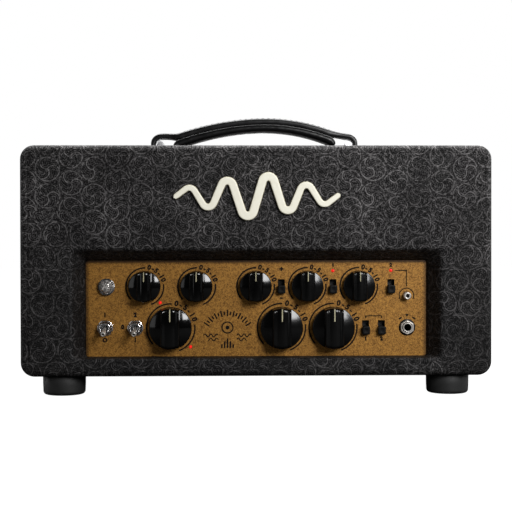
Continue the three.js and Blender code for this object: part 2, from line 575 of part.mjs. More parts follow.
// The upright board behind the front wall, with the pots and slide switches soldered to it.
function controlBoard() {
  const boardBack = controlBoardY + 1.6;
  const parts = [
    box(-112, 144, controlBoardY, boardBack, 46, 134),
    box(-126, 166, controlBoardY, boardBack, 90, 134),
  ];
  const bores = [];
  for (const p of POTS) {
    parts.push(rodY(p.x, p.z, POT.bodyRadius, chassisInsideY, controlBoardY + 1, 12));
    parts.push(rodY(p.x, p.z, POT.bushingRadius, plateFrontY - POT.bushingOut, chassisInsideY + 1, 10));
    bores.push(rodY(p.x, p.z, POT.shaftHoleRadius, plateFrontY - POT.bushingOut - 1, plateFrontY + 9, 10));
  }
  for (const s of SLIDES) {
    parts.push(block(s.x, s.z, SLIDE.slotWidth + 4, SLIDE.slotHeight + 4, chassisInsideY, controlBoardY + 1));
    bores.push(block(s.x, s.z, SLIDE.slotWidth, SLIDE.slotHeight, chassisInsideY - 1, chassisInsideY + SLIDE.pocket));
  }
  parts.push(rodY(TRIM.x, TRIM.z, TRIM.bodyRadius, chassisInsideY, controlBoardY + 1, 10));
  bores.push(rodY(TRIM.x, TRIM.z, TRIM.radius + 0.5, chassisInsideY - 1, plateFrontY + 11, 10));
  bores.push(...LEDS.map((l) => rodY(l.x, l.z, LED_RADIUS + 0.4, chassisInsideY - 1, controlBoardY + 2, 8)));
  return cut(join(...parts), ...bores);
}

piece("control_board", controlBoard(), circuitBoard);

// ---- Rear connectors ----------------------------------------------------------------------------------------

// Speaker, line and effects jacks on one board behind the rear wall.
function rearJackBoard() {
  const jacks = rearJackX.map((x) => jackParts(x, REAR_JACKS.z, chassisRearInsideY, chassisRearY, 1));
  const half = JACK.body / 2;
  const board = box(
    rearJackX[0] - half - 4, rearJackX.at(-1) + half + 4,
    chassisRearInsideY - JACK.bodyLength - 3, chassisRearInsideY,
    REAR_JACKS.z - half - 1.6, REAR_JACKS.z - half + 0.2,
  );
  return cut(join(board, ...jacks.map((j) => j.body)), ...jacks.map((j) => j.bore));
}

// A mains inlet: a flange on the rear wall, a body through it, and three pins standing in the socket.
function mainsInlet() {
  const [width, height, depth] = INLET.cavity;
  const faceY = chassisRearY + GAP + 2;
  const floorY = faceY - depth;
  const flange = block(INLET.x, INLET.z, INLET.width, INLET.height, chassisRearY + GAP, faceY);
  const body = block(INLET.x, INLET.z, 28, 20, floorY - 4, faceY - 1);
  const socket = block(INLET.x, INLET.z, width, height, floorY, faceY + 1);
  const pin = (dx, dz) => block(INLET.x + dx, INLET.z + dz, 2, 4, floorY - 1, faceY - 3);
  return join(cut(join(flange, body), socket), pin(-7, 1), pin(7, 1), pin(0, 5));
}

const fuseHolder = turnedY([
  [0, -30], [6.5, -30], [6.5, -GAP], [FUSE.radius, GAP], [FUSE.radius, FUSE.out - 1], [FUSE.radius - 1, FUSE.out],
  [0, FUSE.out],
], 12);
fuseHolder.rotateZ(Math.PI);

piece("rear_jack_board", rearJackBoard(), matteBlack);
piece("mains_inlet", mainsInlet(), matteBlack);
piece("fuse_holder", fuseHolder, matteBlack, [FUSE.x, chassisRearY + GAP, FUSE.z]);

// ---- Valves, transformers and boards ------------------------------------------------------------------------

const boardZ = deckZ - 22;
const socketTop = deckZ + 3;

// The horizontal board under the deck, with valve sockets that stand up through it and capacitors below.
function mainBoard() {
  const parts = [box(-92, 180, -60, 62, boardZ, boardZ + 1.6), box(20, 120, 61, 76, boardZ, boardZ + 1.6)];
  for (const x of POWER_VALVES.xs) {
    parts.push(rodZ(x, POWER_VALVES.y, POWER_VALVES.socketRadius, boardZ + 1, socketTop));
  }
  for (const x of PREAMP_VALVES.xs) {
    parts.push(rodZ(x, PREAMP_VALVES.y, PREAMP_VALVES.socketRadius, boardZ + 1, socketTop));
  }
  for (const x of [-75, -47, -19]) parts.push(rodZ(x, 20, 11, boardZ - 40, boardZ + 1, 10));
  for (const x of [10, 60, 110, 160]) parts.push(box(x - 14, x + 14, 0, 10, boardZ - 12, boardZ + 0.5));
  return join(...parts);
}

piece("main_board", mainBoard(), circuitBoard);

const valveBase = socketTop + GAP;
const powerProfile = [
  [0, 0], [POWER_VALVES.baseRadius, 0], [POWER_VALVES.baseRadius, 14], [POWER_VALVES.bulbRadius, 20],
  [POWER_VALVES.bulbRadius, POWER_VALVES.height - 16], [12, POWER_VALVES.height - 4], [0, POWER_VALVES.height],
];
const preampProfile = [
  [0, 0], [PREAMP_VALVES.radius, 0], [PREAMP_VALVES.radius, PREAMP_VALVES.height - 8],
  [4, PREAMP_VALVES.height - 2], [0, PREAMP_VALVES.height],
];
POWER_VALVES.xs.forEach((x, i) => {
  piece(`power_valve_${i + 1}`, turnedZ(powerProfile, 14), glass, [x, POWER_VALVES.y, valveBase]);
});
PREAMP_VALVES.xs.forEach((x, i) => {
  piece(`preamp_valve_${i + 1}`, turnedZ(preampProfile, 12), glass, [x, PREAMP_VALVES.y, valveBase]);
});

// A laminated core standing on the deck, with a rounded winding cover on each side and two fixing feet.
function transformer({ x, y, size: [width, depth, height] }) {
  const base = deckZ + GAP;
  const core = box(x - width / 2, x + width / 2, y - depth * 0.2, y + depth * 0.2, base, base + height);
  const cover = roundedRect(x - width * 0.42, x + width * 0.42, base + height * 0.1, base + height * 0.9, 8);
  const covers = extrudeY(cover, y - depth / 2, y + depth / 2, { curveSegments: 2 });
  const foot = box(x - width / 2, x + width / 2, y - depth * 0.32, y + depth * 0.32, base, base + 2);
  return join(core, covers, foot);
}

piece("power_transformer", transformer(POWER_IRON), transformerBlack);
piece("output_transformer", transformer(OUTPUT_IRON), transformerBlack);
piece("choke", transformer(CHOKE), transformerBlack);

// ---- Reverb -------------------------------------------------------------------------------------------------

const tankTop = innerTopZ - GAP;
const tankFloor = tankTop - TANK.height;

function reverbTank() {
  const [x0, x1] = [TANK.x - TANK.length / 2, TANK.x + TANK.length / 2];
  const [y0, y1] = [TANK.y - TANK.width / 2, TANK.y + TANK.width / 2];
  const t = TANK.steel;
  return cut(
    box(x0, x1, y0, y1, tankFloor, tankTop),
    box(x0 + t, x1 - t, y0 + t, y1 - t, tankFloor - 1, tankTop - t),
  );
}

// Three springs stretched between the drive and pick-up coils, on a channel hung inside the tank.
function springUnit() {
  const z = (tankFloor + tankTop) / 2;
  const reach = TANK.length / 2 - 14;
  const parts = [box(TANK.x - reach, TANK.x + reach, TANK.y - 30, TANK.y + 30, z + 9, z + 10)];
  for (const side of [-1, 1]) {
    const end = TANK.x + side * (reach - 8);
    parts.push(box(end - 8, end + 8, TANK.y - 26, TANK.y + 26, z - 6, z + 9.5));
  }
  for (const row of [-1, 0, 1]) {
    parts.push(
      new THREE.CylinderGeometry(3, 3, 2 * reach - 20, 8).rotateZ(Math.PI / 2).translate(TANK.x, TANK.y + row * 15, z),
    );
  }
  return join(...parts);
}

piece("reverb_tank", reverbTank(), zinc);
piece("reverb_spring_unit", springUnit(), steel);

export default head;
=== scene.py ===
"""Looks of a compact valve guitar amplifier head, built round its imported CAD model.

Metres, +Z up, controls facing -Y. Lengths named below are in millimetres until mm() turns them into metres.
"""

import math

import bmesh
import bpy
import numpy as np
from mathutils import Matrix, Vector


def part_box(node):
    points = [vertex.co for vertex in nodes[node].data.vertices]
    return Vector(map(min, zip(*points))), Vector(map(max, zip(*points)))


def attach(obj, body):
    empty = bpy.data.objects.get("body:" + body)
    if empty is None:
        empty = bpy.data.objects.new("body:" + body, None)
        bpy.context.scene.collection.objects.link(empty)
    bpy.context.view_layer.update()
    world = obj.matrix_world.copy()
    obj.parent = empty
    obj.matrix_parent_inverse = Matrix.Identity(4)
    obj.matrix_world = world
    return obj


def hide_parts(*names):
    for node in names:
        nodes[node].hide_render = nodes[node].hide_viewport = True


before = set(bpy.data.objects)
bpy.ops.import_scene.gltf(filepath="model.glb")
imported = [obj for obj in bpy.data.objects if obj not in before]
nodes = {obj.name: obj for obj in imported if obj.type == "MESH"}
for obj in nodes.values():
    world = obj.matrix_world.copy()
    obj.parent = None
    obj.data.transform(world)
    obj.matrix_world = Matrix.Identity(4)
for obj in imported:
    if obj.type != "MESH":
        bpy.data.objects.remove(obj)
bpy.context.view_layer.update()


def mm(*values):
    """Millimetres to metres: one number, or a tuple of them."""
    scaled = tuple(v / 1000 for v in values)
    return scaled[0] if len(scaled) == 1 else scaled


def span(node):
    """A CAD node's lowest and highest corners in millimetres."""
    low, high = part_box(node)
    return low * 1000, high * 1000


def middle_of(node):
    """Where a CAD node's middle is, as seen from the front: x and z in millimetres."""
    low, high = span(node)
    return (low.x + high.x) / 2, (low.z + high.z) / 2


# ---- Places worked out from the frame ----

SHELL_LOW, SHELL_HIGH = span("cabinet_shell")
BAFFLE_LOW, BAFFLE_HIGH = span("front_baffle")
FRONT = SHELL_LOW.y
REAR = SHELL_HIGH.y
TOP = SHELL_HIGH.z
BOTTOM = SHELL_LOW.z
HALF_WIDTH = SHELL_HIGH.x
WALL = 18  # the boards' thickness
CORNER = 14  # radius of the cabinet's corners, seen from the front
EDGE = 7  # radius of its front and rear edges
SEAM = 8  # from the cabinet's edge to the baffle's lip
LEDGE_Z = BOTTOM + WALL
PLATE = span("faceplate")[0].y
WINDOW = {"half_width": 173.8, "height": 98.1, "bevel": 11.5, "depth": 24, "corner": 2.6}  # at its bottom
HANDLE_Y = (FRONT + REAR) / 2
QUARTER_TURN_X = 176.0  # the covering's pattern is turned a quarter beyond this and below the next
QUARTER_TURN_Z = 186.0

BADGE_CORNERS = (
    (-83, -2), (-66, 11), (-48, -18), (-29, 26), (-9, -34), (11, 34), (30, -26), (48, 18), (66, -11), (83, 2),
)
BADGE_TURN = 6  # radius of the ribbon's bends
BADGE_HALF = 4.6  # half its width in the middle

SMALL_KNOBS = ("reverb", "presence", "bass", "middle", "treble")
LARGE_KNOBS = ("effects", "loudness", "gain")


# ---- Shader helpers ----


class Field:
    """A number that varies over a surface: a socket of a shader tree, with arithmetic."""

    def __init__(self, tree, socket):
        self.tree = tree
        self.socket = socket

    def math(self, operation, *others):
        node = self.tree.nodes.new("ShaderNodeMath")
        node.operation = operation
        for place, value in enumerate((self, *others)):
            plug(self.tree, node.inputs[place], value)
        return Field(self.tree, node.outputs[0])

    def __add__(self, other):
        return self.math("ADD", other)

    def __sub__(self, other):
        return self.math("SUBTRACT", other)

    def __mul__(self, other):
        return self.math("MULTIPLY", other)

    def __truediv__(self, other):
        return self.math("DIVIDE", other)

    def __abs__(self):
        return self.math("ABSOLUTE")

    def ramp(self, low, high, to_low=0.0, to_high=1.0):
        """Smoothly from to_low where the field is at low to to_high where it is at high."""
        node = self.tree.nodes.new("ShaderNodeMapRange")
        node.interpolation_type = "SMOOTHSTEP"
        plug(self.tree, node.inputs["Value"], self)
        for name, value in (("From Min", low), ("From Max", high), ("To Min", to_low), ("To Max", to_high)):
            plug(self.tree, node.inputs[name], value)
        return Field(self.tree, node.outputs["Result"])


def plug(tree, socket, value):
    if isinstance(value, Field):
        tree.links.new(value.socket, socket)
    else:
        socket.default_value = value


class Surface:
    """A material with one Principled shader. Constants go straight onto the shader's own sockets."""

    def __init__(self, name, **constants):
        self.material = bpy.data.materials.new(name)
        self.material.use_nodes = True
        self.tree = self.material.node_tree
        self.shader = self.tree.nodes["Principled BSDF"]
        for key, value in constants.items():
            self.shader.inputs[key.replace("_", " ")].default_value = value

    def node(self, kind, **settings):
        made = self.tree.nodes.new(kind)
        for key, value in settings.items():
            setattr(made, key, value)
        return made

    def axes(self, output):
        """The x, y and z of one of the texture coordinates."""
        coordinates = self.node("ShaderNodeTexCoord")
        split = self.node("ShaderNodeSeparateXYZ")
        self.tree.links.new(coordinates.outputs[output], split.inputs[0])
        return [Field(self.tree, split.outputs[axis]) for axis in "XYZ"]

    def place(self):
        """The point's x, y and z in millimetres."""
        return [axis * 1000 for axis in self.axes("Object")]

    def facing(self):
        """The surface normal's x, y and z."""
        return self.axes("Normal")

    def vector(self, x, y, z):
        joined = self.node("ShaderNodeCombineXYZ")
        for place, value in enumerate((x, y, z)):
            plug(self.tree, joined.inputs[place], value)
        return joined.outputs[0]

    def texture(self, kind, size, **settings):
        """A 3-D texture node whose features are about size millimetres across."""
        point = self.vector(*self.place())
        made = self.node(kind, **settings)
        made.inputs["Scale"].default_value = 1.0 / size
        self.tree.links.new(point, made.inputs["Vector"])
        return made

    def noise(self, size, detail=2.0, seed=0.0):
        """Cloudy noise from 0 to 1."""
        made = self.texture("ShaderNodeTexNoise", size, noise_dimensions="4D")
        made.inputs["Detail"].default_value = detail
        made.inputs["W"].default_value = seed
        return Field(self.tree, made.outputs["Fac"])

    def pebbles(self, size):
        """Distance to the nearest of scattered points, in units of size."""
        made = self.texture("ShaderNodeTexVoronoi", size, voronoi_dimensions="3D", feature="F1")
        return Field(self.tree, made.outputs["Distance"])

    def blend(self, amount, dark, light):
        """A colour from dark to light as amount goes from 0 to 1."""
        made = self.node("ShaderNodeMix", data_type="RGBA", clamp_factor=True)
        plug(self.tree, made.inputs[0], amount)
        for socket, colour in ((made.inputs[6], dark), (made.inputs[7], light)):
            if isinstance(colour, bpy.types.NodeSocket):
                self.tree.links.new(colour, socket)
            else:
                socket.default_value = (*colour, 1.0)
        return made.outputs[2]

    def finished(self, colour, roughness=None, height=None):
        """The material with a colour and, where given, a roughness and bumps from a height in millimetres."""
        self.tree.links.new(colour, self.shader.inputs["Base Color"])
        if roughness is not None:
            plug(self.tree, self.shader.inputs["Roughness"], roughness)
        if height is not None:
            bump = self.node("ShaderNodeBump")
            bump.inputs["Distance"].default_value = mm(1)
            bump.inputs["Strength"].default_value = 1.0
            plug(self.tree, bump.inputs["Height"], height)
            self.tree.links.new(bump.outputs["Normal"], self.shader.inputs["Normal"])
        return self.material


# ---- Materials ----


def nearest_motif(u, v, pitch):
    """Offset from the nearest centre of a pattern whose rows are staggered by half a pitch."""
    rise = pitch * math.sqrt(3) / 2

    def offset(field, step, shift):
        scaled = (field - shift) / step
        return (scaled - scaled.math("ROUND")) * step

    au, av = offset(u, pitch, 0.0), offset(v, 2 * rise, 0.0)
    bu, bv = offset(u, pitch, pitch / 2), offset(v, 2 * rise, rise)
    nearer = (au * au + av * av).math("LESS_THAN", bu * bu + bv * bv)
    return bu + nearer * (au - bu), bv + nearer * (av - bv)


def ridge(distance, width, height=1.0):
    """A soft line of some width where distance is 0."""
    return abs(distance).ramp(0.25 * width, width, height, 0.0)


def swirl_relief(surface, u, v):
    """Height from 0 to 1 of a field of rings that hold three curved arms each, with fine lines between."""
    pitch, ring, line = 26.8, 12.0, 0.95
    up, across = nearest_motif(v, u, pitch)
    radius = (across * across + up * up).math("SQRT")
    angle = (up.math("ARCTAN2", across) + (math.tau * 2 + 0.35)).math("MODULO", math.tau / 3)
    arm_x = radius * angle.math("COSINE") - ring / 2
    arm_y = radius * angle.math("SINE")
    arm = (arm_x * arm_x + arm_y * arm_y).math("SQRT") - ring / 2
    inside = radius.ramp(ring - 0.8, ring - 0.3, 1.0, 0.0)
    echoes = (arm * (math.tau / 2.0)).math("COSINE").ramp(0.2, 1.0, 0.0, 0.42) * inside
    outer = (radius * (math.tau / 1.7)).math("COSINE").ramp(0.2, 1.0, 0.0, 0.30) * (inside * -1.0 + 1.0)
    rings = ridge(radius - ring, line, 0.9)
    arms = ridge(arm, line) * inside
    return rings.math("MAXIMUM", arms.math("MAXIMUM", echoes.math("MAXIMUM", outer)))


def embossed_vinyl(name, painted_recess_shade=False):
    """Charcoal vinyl pressed with rings and curls, its pattern running on round the cabinet's edges and
    turned a quarter beside the control opening. Its colour holds painted shade, darker towards the bottom,
    towards the left and where it goes down into the opening, and painted light, lighter on faces that look
    upwards."""
    surface = Surface(name, Roughness=0.62, Specular_IOR_Level=0.14)
    x, y, z = surface.place()
    nx, ny, nz = surface.facing()
    bend = 2 * EDGE * (1 - math.cos(math.pi / 4))
    past_front = y - FRONT - bend
    sideways = abs(nx).math("GREATER_THAN", abs(ny).math("MAXIMUM", abs(nz)))
    level = abs(nz).math("GREATER_THAN", abs(ny).math("MAXIMUM", abs(nx)))
    u = x + sideways * (past_front * x.math("SIGN"))
    v = z + level * (past_front * nz.math("SIGN"))
    turned = abs(x).math("GREATER_THAN", QUARTER_TURN_X) * z.math("LESS_THAN", QUARTER_TURN_Z)
    along = u + turned * (v - u)
    over = v + turned * (u - v)
    wobble = surface.noise(30.0, seed=3.0) - 0.5
    drift = surface.noise(34.0, seed=9.0) - 0.5
    relief = swirl_relief(surface, along + wobble * 5.0, over + drift * 5.0)
    coarse = surface.noise(3.2, detail=3.0, seed=1.0)
    fine = surface.noise(1.25, detail=2.0, seed=12.0)
    blotch = surface.noise(45.0, seed=5.0)
    worn = relief * coarse.ramp(0.32, 0.62, 0.10, 1.0) * blotch.ramp(0.3, 0.7, 0.40, 0.72)
    dust_and_painted_light = (worn + fine.ramp(0.46, 0.72, 0.0, 0.50)) * blotch.ramp(0.25, 0.75, 0.7, 1.15)
    # Painted shade: darker towards the bottom and towards the left. Painted light: lighter on faces that look
    # upwards.
    dust_and_painted_light = dust_and_painted_light * z.ramp(50.0, 215.0, 0.45, 1.0) * x.ramp(-230.0, 230.0, 0.82, 1.06)
    dust_and_painted_light = dust_and_painted_light * nz.ramp(0.2, 0.8, 1.0, 1.35)
    # Painted shade where the vinyl goes down into the opening, darker the deeper it goes.
    if painted_recess_shade:
        dust_and_painted_light = dust_and_painted_light * y.ramp(FRONT + 1.0, FRONT + 7.0, 1.0, 0.66)
    colour = surface.blend(dust_and_painted_light, (0.0016, 0.0015, 0.0016), (0.215, 0.205, 0.206))
    return surface.finished(colour, coarse.ramp(0.3, 0.7, 0.78, 0.58), relief * 0.34 + fine * 0.42)


def smooth_vinyl():
    """Glossy black handle vinyl with a fine leather grain."""
    surface = Surface("handle_vinyl", Specular_IOR_Level=0.36)
    grain = surface.pebbles(0.9)
    soft = surface.noise(6.0, seed=2.0)
    colour = surface.blend(soft, (0.0010, 0.0010, 0.0011), (0.0026, 0.0026, 0.0030))
    roughness = soft.ramp(0.3, 0.7, 0.28, 0.38)
    return surface.finished(colour, roughness, grain.ramp(0.1, 0.8, 0.0, 0.006) + soft * 0.05)


def gold_panel():
    """Gold-brown panel paint with fine metallic grain, with painted shadow along its top and side edges under
    the opening's rim and painted shade darker towards the left.
    """
    surface = Surface("panel_paint", Metallic=0.2, Specular_IOR_Level=0.25)
    fine = surface.noise(0.85, detail=2.5, seed=4.0)
    coarse = surface.noise(2.6, detail=2.0, seed=6.0)
    mixed = fine * 0.7 + coarse * 0.3
    x, _, z = surface.place()
    # Painted shadow within a few millimetres of the opening's top and side edges, and painted shade towards
    # the left; the first colour in the blend below is the shadow's.
    from_side = abs(x) * -1.0 + WINDOW["half_width"]
    from_top = z * -1.0 + (LEDGE_Z + WINDOW["height"])
    painted_shade = from_side.ramp(0.0, 5.0, 0.30, 1.0) * from_top.ramp(0.8, 4.5, 0.10, 1.0)
    painted_shade = painted_shade * x.ramp(-175.0, 150.0, 0.72, 0.87)
    metal = surface.blend(mixed.ramp(0.34, 0.64), (0.150, 0.060, 0.008), (0.54, 0.265, 0.050))
    colour = surface.blend(painted_shade, (0.012, 0.004, 0.001), metal)
    return surface.finished(colour, fine.ramp(0.3, 0.7, 0.62, 0.40), mixed * 0.10)


def satin(name, dark, light, rough, metal=0.0, bump=0.02, size=1.2, **constants):
    """A plain finish with a little mottle in its colour, gloss and height."""
    surface = Surface(name, Metallic=metal, **constants)
    mottle = surface.noise(size * 8, detail=3.0, seed=7.0)
    grain = surface.noise(size, detail=2.0, seed=8.0)
    colour = surface.blend(mottle.ramp(0.3, 0.7), dark, light)
    return surface.finished(colour, (grain * 0.6 + mottle * 0.4).ramp(0.3, 0.7, *rough), grain * bump)


def grey(value, tint=0.0):
    return (value, value, value * (1 + tint))


def knob_plastic():
    """Gloss black knob plastic, handled to a softer shine on the knobs at the right."""
    surface = Surface("knob_gloss", Specular_IOR_Level=0.38)
    mottle = surface.noise(48.0, detail=3.0, seed=7.0)
    colour = surface.blend(mottle.ramp(0.3, 0.7), grey(0.0007), grey(0.0011))
    return surface.finished(colour, surface.place()[0].ramp(-60.0, 90.0, 0.08, 0.19) + mottle * 0.02)


def board_green(name, parts_before=None):
    """Circuit board laminate with a hint of copper tracks under the lacquer. Whatever is in front of
    parts_before is the dark cases of the pots and switches."""
    surface = Surface(name, Specular_IOR_Level=0.4)
    x, y, z = surface.place()
    tracks = (((x + z * 2) / 3.2).math("SINE") * ((y + z) / 4.1).math("SINE")).ramp(0.1, 0.25)
    green = surface.blend(tracks, (0.010, 0.060, 0.020), (0.022, 0.105, 0.036))
    if parts_before is not None:
        cases = surface.blend(surface.noise(3.0, seed=2.0), grey(0.004), grey(0.009))
        green = surface.blend(y.ramp(parts_before - 0.2, parts_before), cases, green)
    return surface.finished(green, tracks.ramp(0.0, 1.0, 0.35, 0.28))


def lit_red():
    """A small red lamp, glowing from inside."""
    surface = Surface("red_lamp", Roughness=0.25, Emission_Strength=0.62)
    surface.shader.inputs["Emission Color"].default_value = (1.0, 0.015, 0.012, 1.0)
    return surface.finished(surface.blend(surface.noise(0.8), (0.65, 0.004, 0.004), (0.9, 0.03, 0.02)))


def faceted_lens():
    """Unlit clear jewel: grey glass over a dull metal backing, cut in small facets."""
    surface = Surface("jewel_lens", Metallic=0.55, Coat_Weight=1.0, Coat_Roughness=0.03)
    cut = surface.pebbles(1.9)
    colour = surface.blend(cut.ramp(0.2, 0.8), (0.12, 0.11, 0.105), (0.62, 0.59, 0.56))
    return surface.finished(colour, cut.ramp(0.2, 0.8, 0.35, 0.12), cut * 0.5)


def valve_glass():
    surface = Surface("valve_glass", Roughness=0.04, Transmission_Weight=0.85, IOR=1.2)
    return surface.finished(surface.blend(surface.noise(8.0), (0.70, 0.74, 0.74), (0.86, 0.88, 0.87)))


def cream_badge():
    """Cream plastic, with painted shade darkening it where its rounded edge turns away from the front."""
    surface = Surface("badge_cream", Specular_IOR_Level=0.45)
    flat = abs(surface.facing()[1]).ramp(0.45, 0.97)
    mottle = surface.noise(7.0, detail=3.0, seed=7.0)
    face = surface.blend(mottle.ramp(0.3, 0.7), (0.94, 0.905, 0.76), (0.98, 0.955, 0.82))
    # Painted shade on the rounded edge: the darker colour where the surface turns away from the front.
    colour = surface.blend(flat, (0.34, 0.285, 0.155), face)
    roughness = mottle.ramp(0.3, 0.7, 0.38, 0.5)
    return surface.finished(colour, roughness, surface.noise(1.1, seed=8.0) * 0.03)


vinyl = embossed_vinyl("embossed_vinyl")
front_vinyl = embossed_vinyl("front_vinyl", painted_recess_shade=True)
handle_vinyl = smooth_vinyl()
panel_paint = gold_panel()
inside_paint = satin("inside_paint", grey(0.010), grey(0.016), (0.7, 0.85), bump=0.05, size=2.0)
rubber = satin("foot_rubber", grey(0.005), grey(0.009), (0.55, 0.75), bump=0.06, size=0.9)
knob_gloss = knob_plastic()
pointer_cream = satin("pointer_cream", (0.34, 0.31, 0.18), (0.50, 0.46, 0.30), (0.4, 0.5))
bracket_chrome, chrome = (
    satin(name, grey(0.62, 0.02), grey(0.78, 0.02), rough, metal=1.0, bump=0.004)
    for name, rough in (("bracket_chrome", (0.30, 0.42)), ("chrome", (0.08, 0.20)))
)
switch_black = satin(
    "switch_black", grey(0.002), grey(0.004), (0.35, 0.5), bump=0.01, Specular_IOR_Level=0.14
)
nickel = satin("satin_nickel", (0.50, 0.47, 0.43), (0.62, 0.59, 0.55), (0.30, 0.42), metal=0.55, bump=0.004)
socket_black = satin("socket_black", grey(0.010), grey(0.018), (0.45, 0.6), bump=0.02)
print_black = satin(
    "print_black", grey(0.002), grey(0.004), (0.6, 0.7), bump=0.01, Specular_IOR_Level=0.1
)
plated_steel = satin("plated_steel", grey(0.40), grey(0.52), (0.28, 0.42), metal=1.0, bump=0.01, size=2.0)
zinc = satin("zinc_plate", grey(0.45, 0.03), grey(0.60, 0.02), (0.30, 0.45), metal=1.0, bump=0.01, size=2.5)
black_steel = satin("black_steel", grey(0.012), grey(0.02), (0.5, 0.65), bump=0.05, size=0.7)
thread_black = satin(
    "thread_black", grey(0.004), grey(0.010), (0.6, 0.8), bump=0.03, size=0.6, Specular_IOR_Level=0.2
)
lacquer_black = satin("transformer_lacquer", grey(0.012), grey(0.022), (0.3, 0.45), bump=0.03, size=1.5)
badge_cream = cream_badge()
circuit_green = board_green("circuit_board")
control_green = board_green("control_circuit_board", parts_before=span("control_board")[1].y - 1.8)
red_lamp = lit_red()
jewel_lens = faceted_lens()
bulb_glass = valve_glass()


# ---- Mesh helpers ----


def add_piece(name, mesh, materials, body="amp", replaces=(), smooth=True):
    """Puts a mesh in the scene as a piece of the object that rides on a body."""
    piece = bpy.data.objects.new(name, mesh)
    bpy.context.scene.collection.objects.link(piece)
    for material in materials if isinstance(materials, (list, tuple)) else [materials]:
        mesh.materials.append(material)
    for polygon in mesh.polygons:
        polygon.use_smooth = smooth
    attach(piece, body)
    if replaces:
        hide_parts(*replaces)
    return piece


def mesh_of(points, faces):
    """A mesh from points in millimetres."""
    mesh = bpy.data.meshes.new("mesh")
    mesh.from_pydata([mm(*p) for p in points], [], faces)
    mesh.validate()
    mesh.update()
    return mesh


def grid_faces(rows, columns, close_rows=False, close_columns=False):
    """Quads over a grid of points stored row by row."""
    faces = []
    for i in range(rows if close_rows else rows - 1):
        for j in range(columns if close_columns else columns - 1):
            a, b = i * columns, (i + 1) % rows * columns
            c, d = j, (j + 1) % columns
            faces.append([a + c, a + d, b + d, b + c])
    return faces


def fix_normals(mesh):
    """Merges points that meet and turns every face outwards."""
    work = bmesh.new()
    work.from_mesh(mesh)
    bmesh.ops.remove_doubles(work, verts=work.verts, dist=1e-7)
    bmesh.ops.recalc_face_normals(work, faces=work.faces)
    work.to_mesh(mesh)
    work.free()
    return mesh


def capped(points, columns):
    """A solid from rows of points, each row closed round itself, with a face over each end."""
    last = len(points) - columns
    faces = grid_faces(len(points) // columns, columns, close_columns=True)
    faces += [list(range(columns)), [last + k for k in range(columns)]]
    return fix_normals(mesh_of(points, faces))


def hooped(loops):
    """A solid with a hole through it, from loops of points that come round to the first again."""
    faces = grid_faces(len(loops), len(loops[0]), close_rows=True, close_columns=True)
    return fix_normals(mesh_of([p for loop in loops for p in loop], faces))


def headings(path):
    """The direction of a path of vectors at each of its points."""
    last = len(path) - 1
    return [(path[min(k + 1, last)] - path[max(k - 1, 0)]).normalized() for k in range(last + 1)]


def lathe(profile, sides, axis, centre):
    """A closed solid turned from [radius, distance] points, about Z upwards or about Y towards the front."""
    points = []
    for radius, along in profile:
        for k in range(sides):
            turn = math.tau * k / sides
            a, b = radius * math.cos(turn), radius * math.sin(turn)
            offset = (a, b, along) if axis == "z" else (a, -along, b)
            points.append(tuple(c + o for c, o in zip(centre, offset)))
    return capped(points, sides)


def arc_points(centre, radius, start, end, steps):
    """Points along an arc, in degrees, as (x, z) pairs. radius may be a pair for an ellipse."""
    rx, rz = radius if isinstance(radius, tuple) else (radius, radius)
    turns = np.radians(np.linspace(start, end, steps + 1))
    return [(centre[0] + rx * math.cos(t), centre[1] + rz * math.sin(t)) for t in turns]


def at_depth(y, outline):
    """An outline of (x, z) points as points at a depth."""
    return [(x, y, z) for x, z in outline]


def joined(meshes):
    """Several meshes as one."""
    work = bmesh.new()
    for mesh in meshes:
        work.from_mesh(mesh)
    result = bpy.data.meshes.new("joined")
    work.to_mesh(result)
    work.free()
    return result


def refinish(node, material, rounding, segments=2):
    """Gives a CAD node its material, and rounds its hard edges by some millimetres unless that is 0."""
    piece = nodes[node]
    piece.data.materials.clear()
    piece.data.materials.append(material)
    if not rounding:
        return
    bevel = piece.modifiers.new("soft_edges", "BEVEL")
    bevel.width = mm(rounding)
    bevel.segments = segments
    bevel.limit_method = "ANGLE"
    bevel.angle_limit = math.radians(32)
    bevel.harden_normals = True
    bevel.use_clamp_overlap = True
    for polygon in piece.data.polygons:
        polygon.use_smooth = True


# ---- Cabinet skin ----

CORNER_STEPS, ACROSS, UP = 8, 24, 12  # how finely a loop's corners, level sides and upright sides are cut
REBATE = 6.2  # how deep the shell's side of the seam is
LIP_DEPTH = 6  # how deep the baffle's side of it is


def rect_loop(half_width, low, high, radius, steps=CORNER_STEPS, across=ACROSS, up=UP):
    """Points round a rectangle with rounded corners, as (x, z), starting at the right end of the top edge.
    Every loop made with the same counts has matching points."""
    points = []
    corners = (
        ((half_width - radius, high - radius), 0, 90, across),
        ((radius - half_width, high - radius), 90, 180, up),
        ((radius - half_width, low + radius), 180, 270, across),
        ((half_width - radius, low + radius), 270, 360, up),
    )
    for index, (centre, start, end, count) in enumerate(corners):
        arc = arc_points(centre, radius, start, end, steps)
        following = corners[(index + 1) % 4]
        target = arc_points(following[0], radius, following[1], following[1], 1)[0]
        points += arc
        for k in range(1, count):
            t = k / count
            points.append((arc[-1][0] * (1 - t) + target[0] * t, arc[-1][1] * (1 - t) + target[1] * t))
    return points


def shell_profile():
    """(inset, y, covered) round the section of a cabinet wall, from the rebate round the outside and back."""
    tuck = 0.15
    seam = SEAM - 0.02
    rows = [(seam, FRONT + REBATE, True), (seam, FRONT + tuck, True), (seam - tuck, FRONT, True)]
    rows += [(EDGE - a, FRONT + EDGE - b, True) for a, b in arc_points((0, 0), EDGE, 90, 0, 8)[1:]]
    rows += [(0, y, True) for y in np.linspace(FRONT + EDGE, REAR - EDGE, 16)[1:-1]]
    rows += [(EDGE - a, REAR - EDGE + b, True) for a, b in arc_points((0, 0), EDGE, 0, 90, 8)]
    rows += [(WALL - 1.5, REAR, True), (WALL - 0.4, REAR - 0.5, True), (WALL, REAR - 2, True)]
    rows += [(WALL, REAR - 20, True)]
    rows += [(WALL, y, False) for y in np.linspace(REAR - 22, FRONT + REBATE, 10)]
    return rows


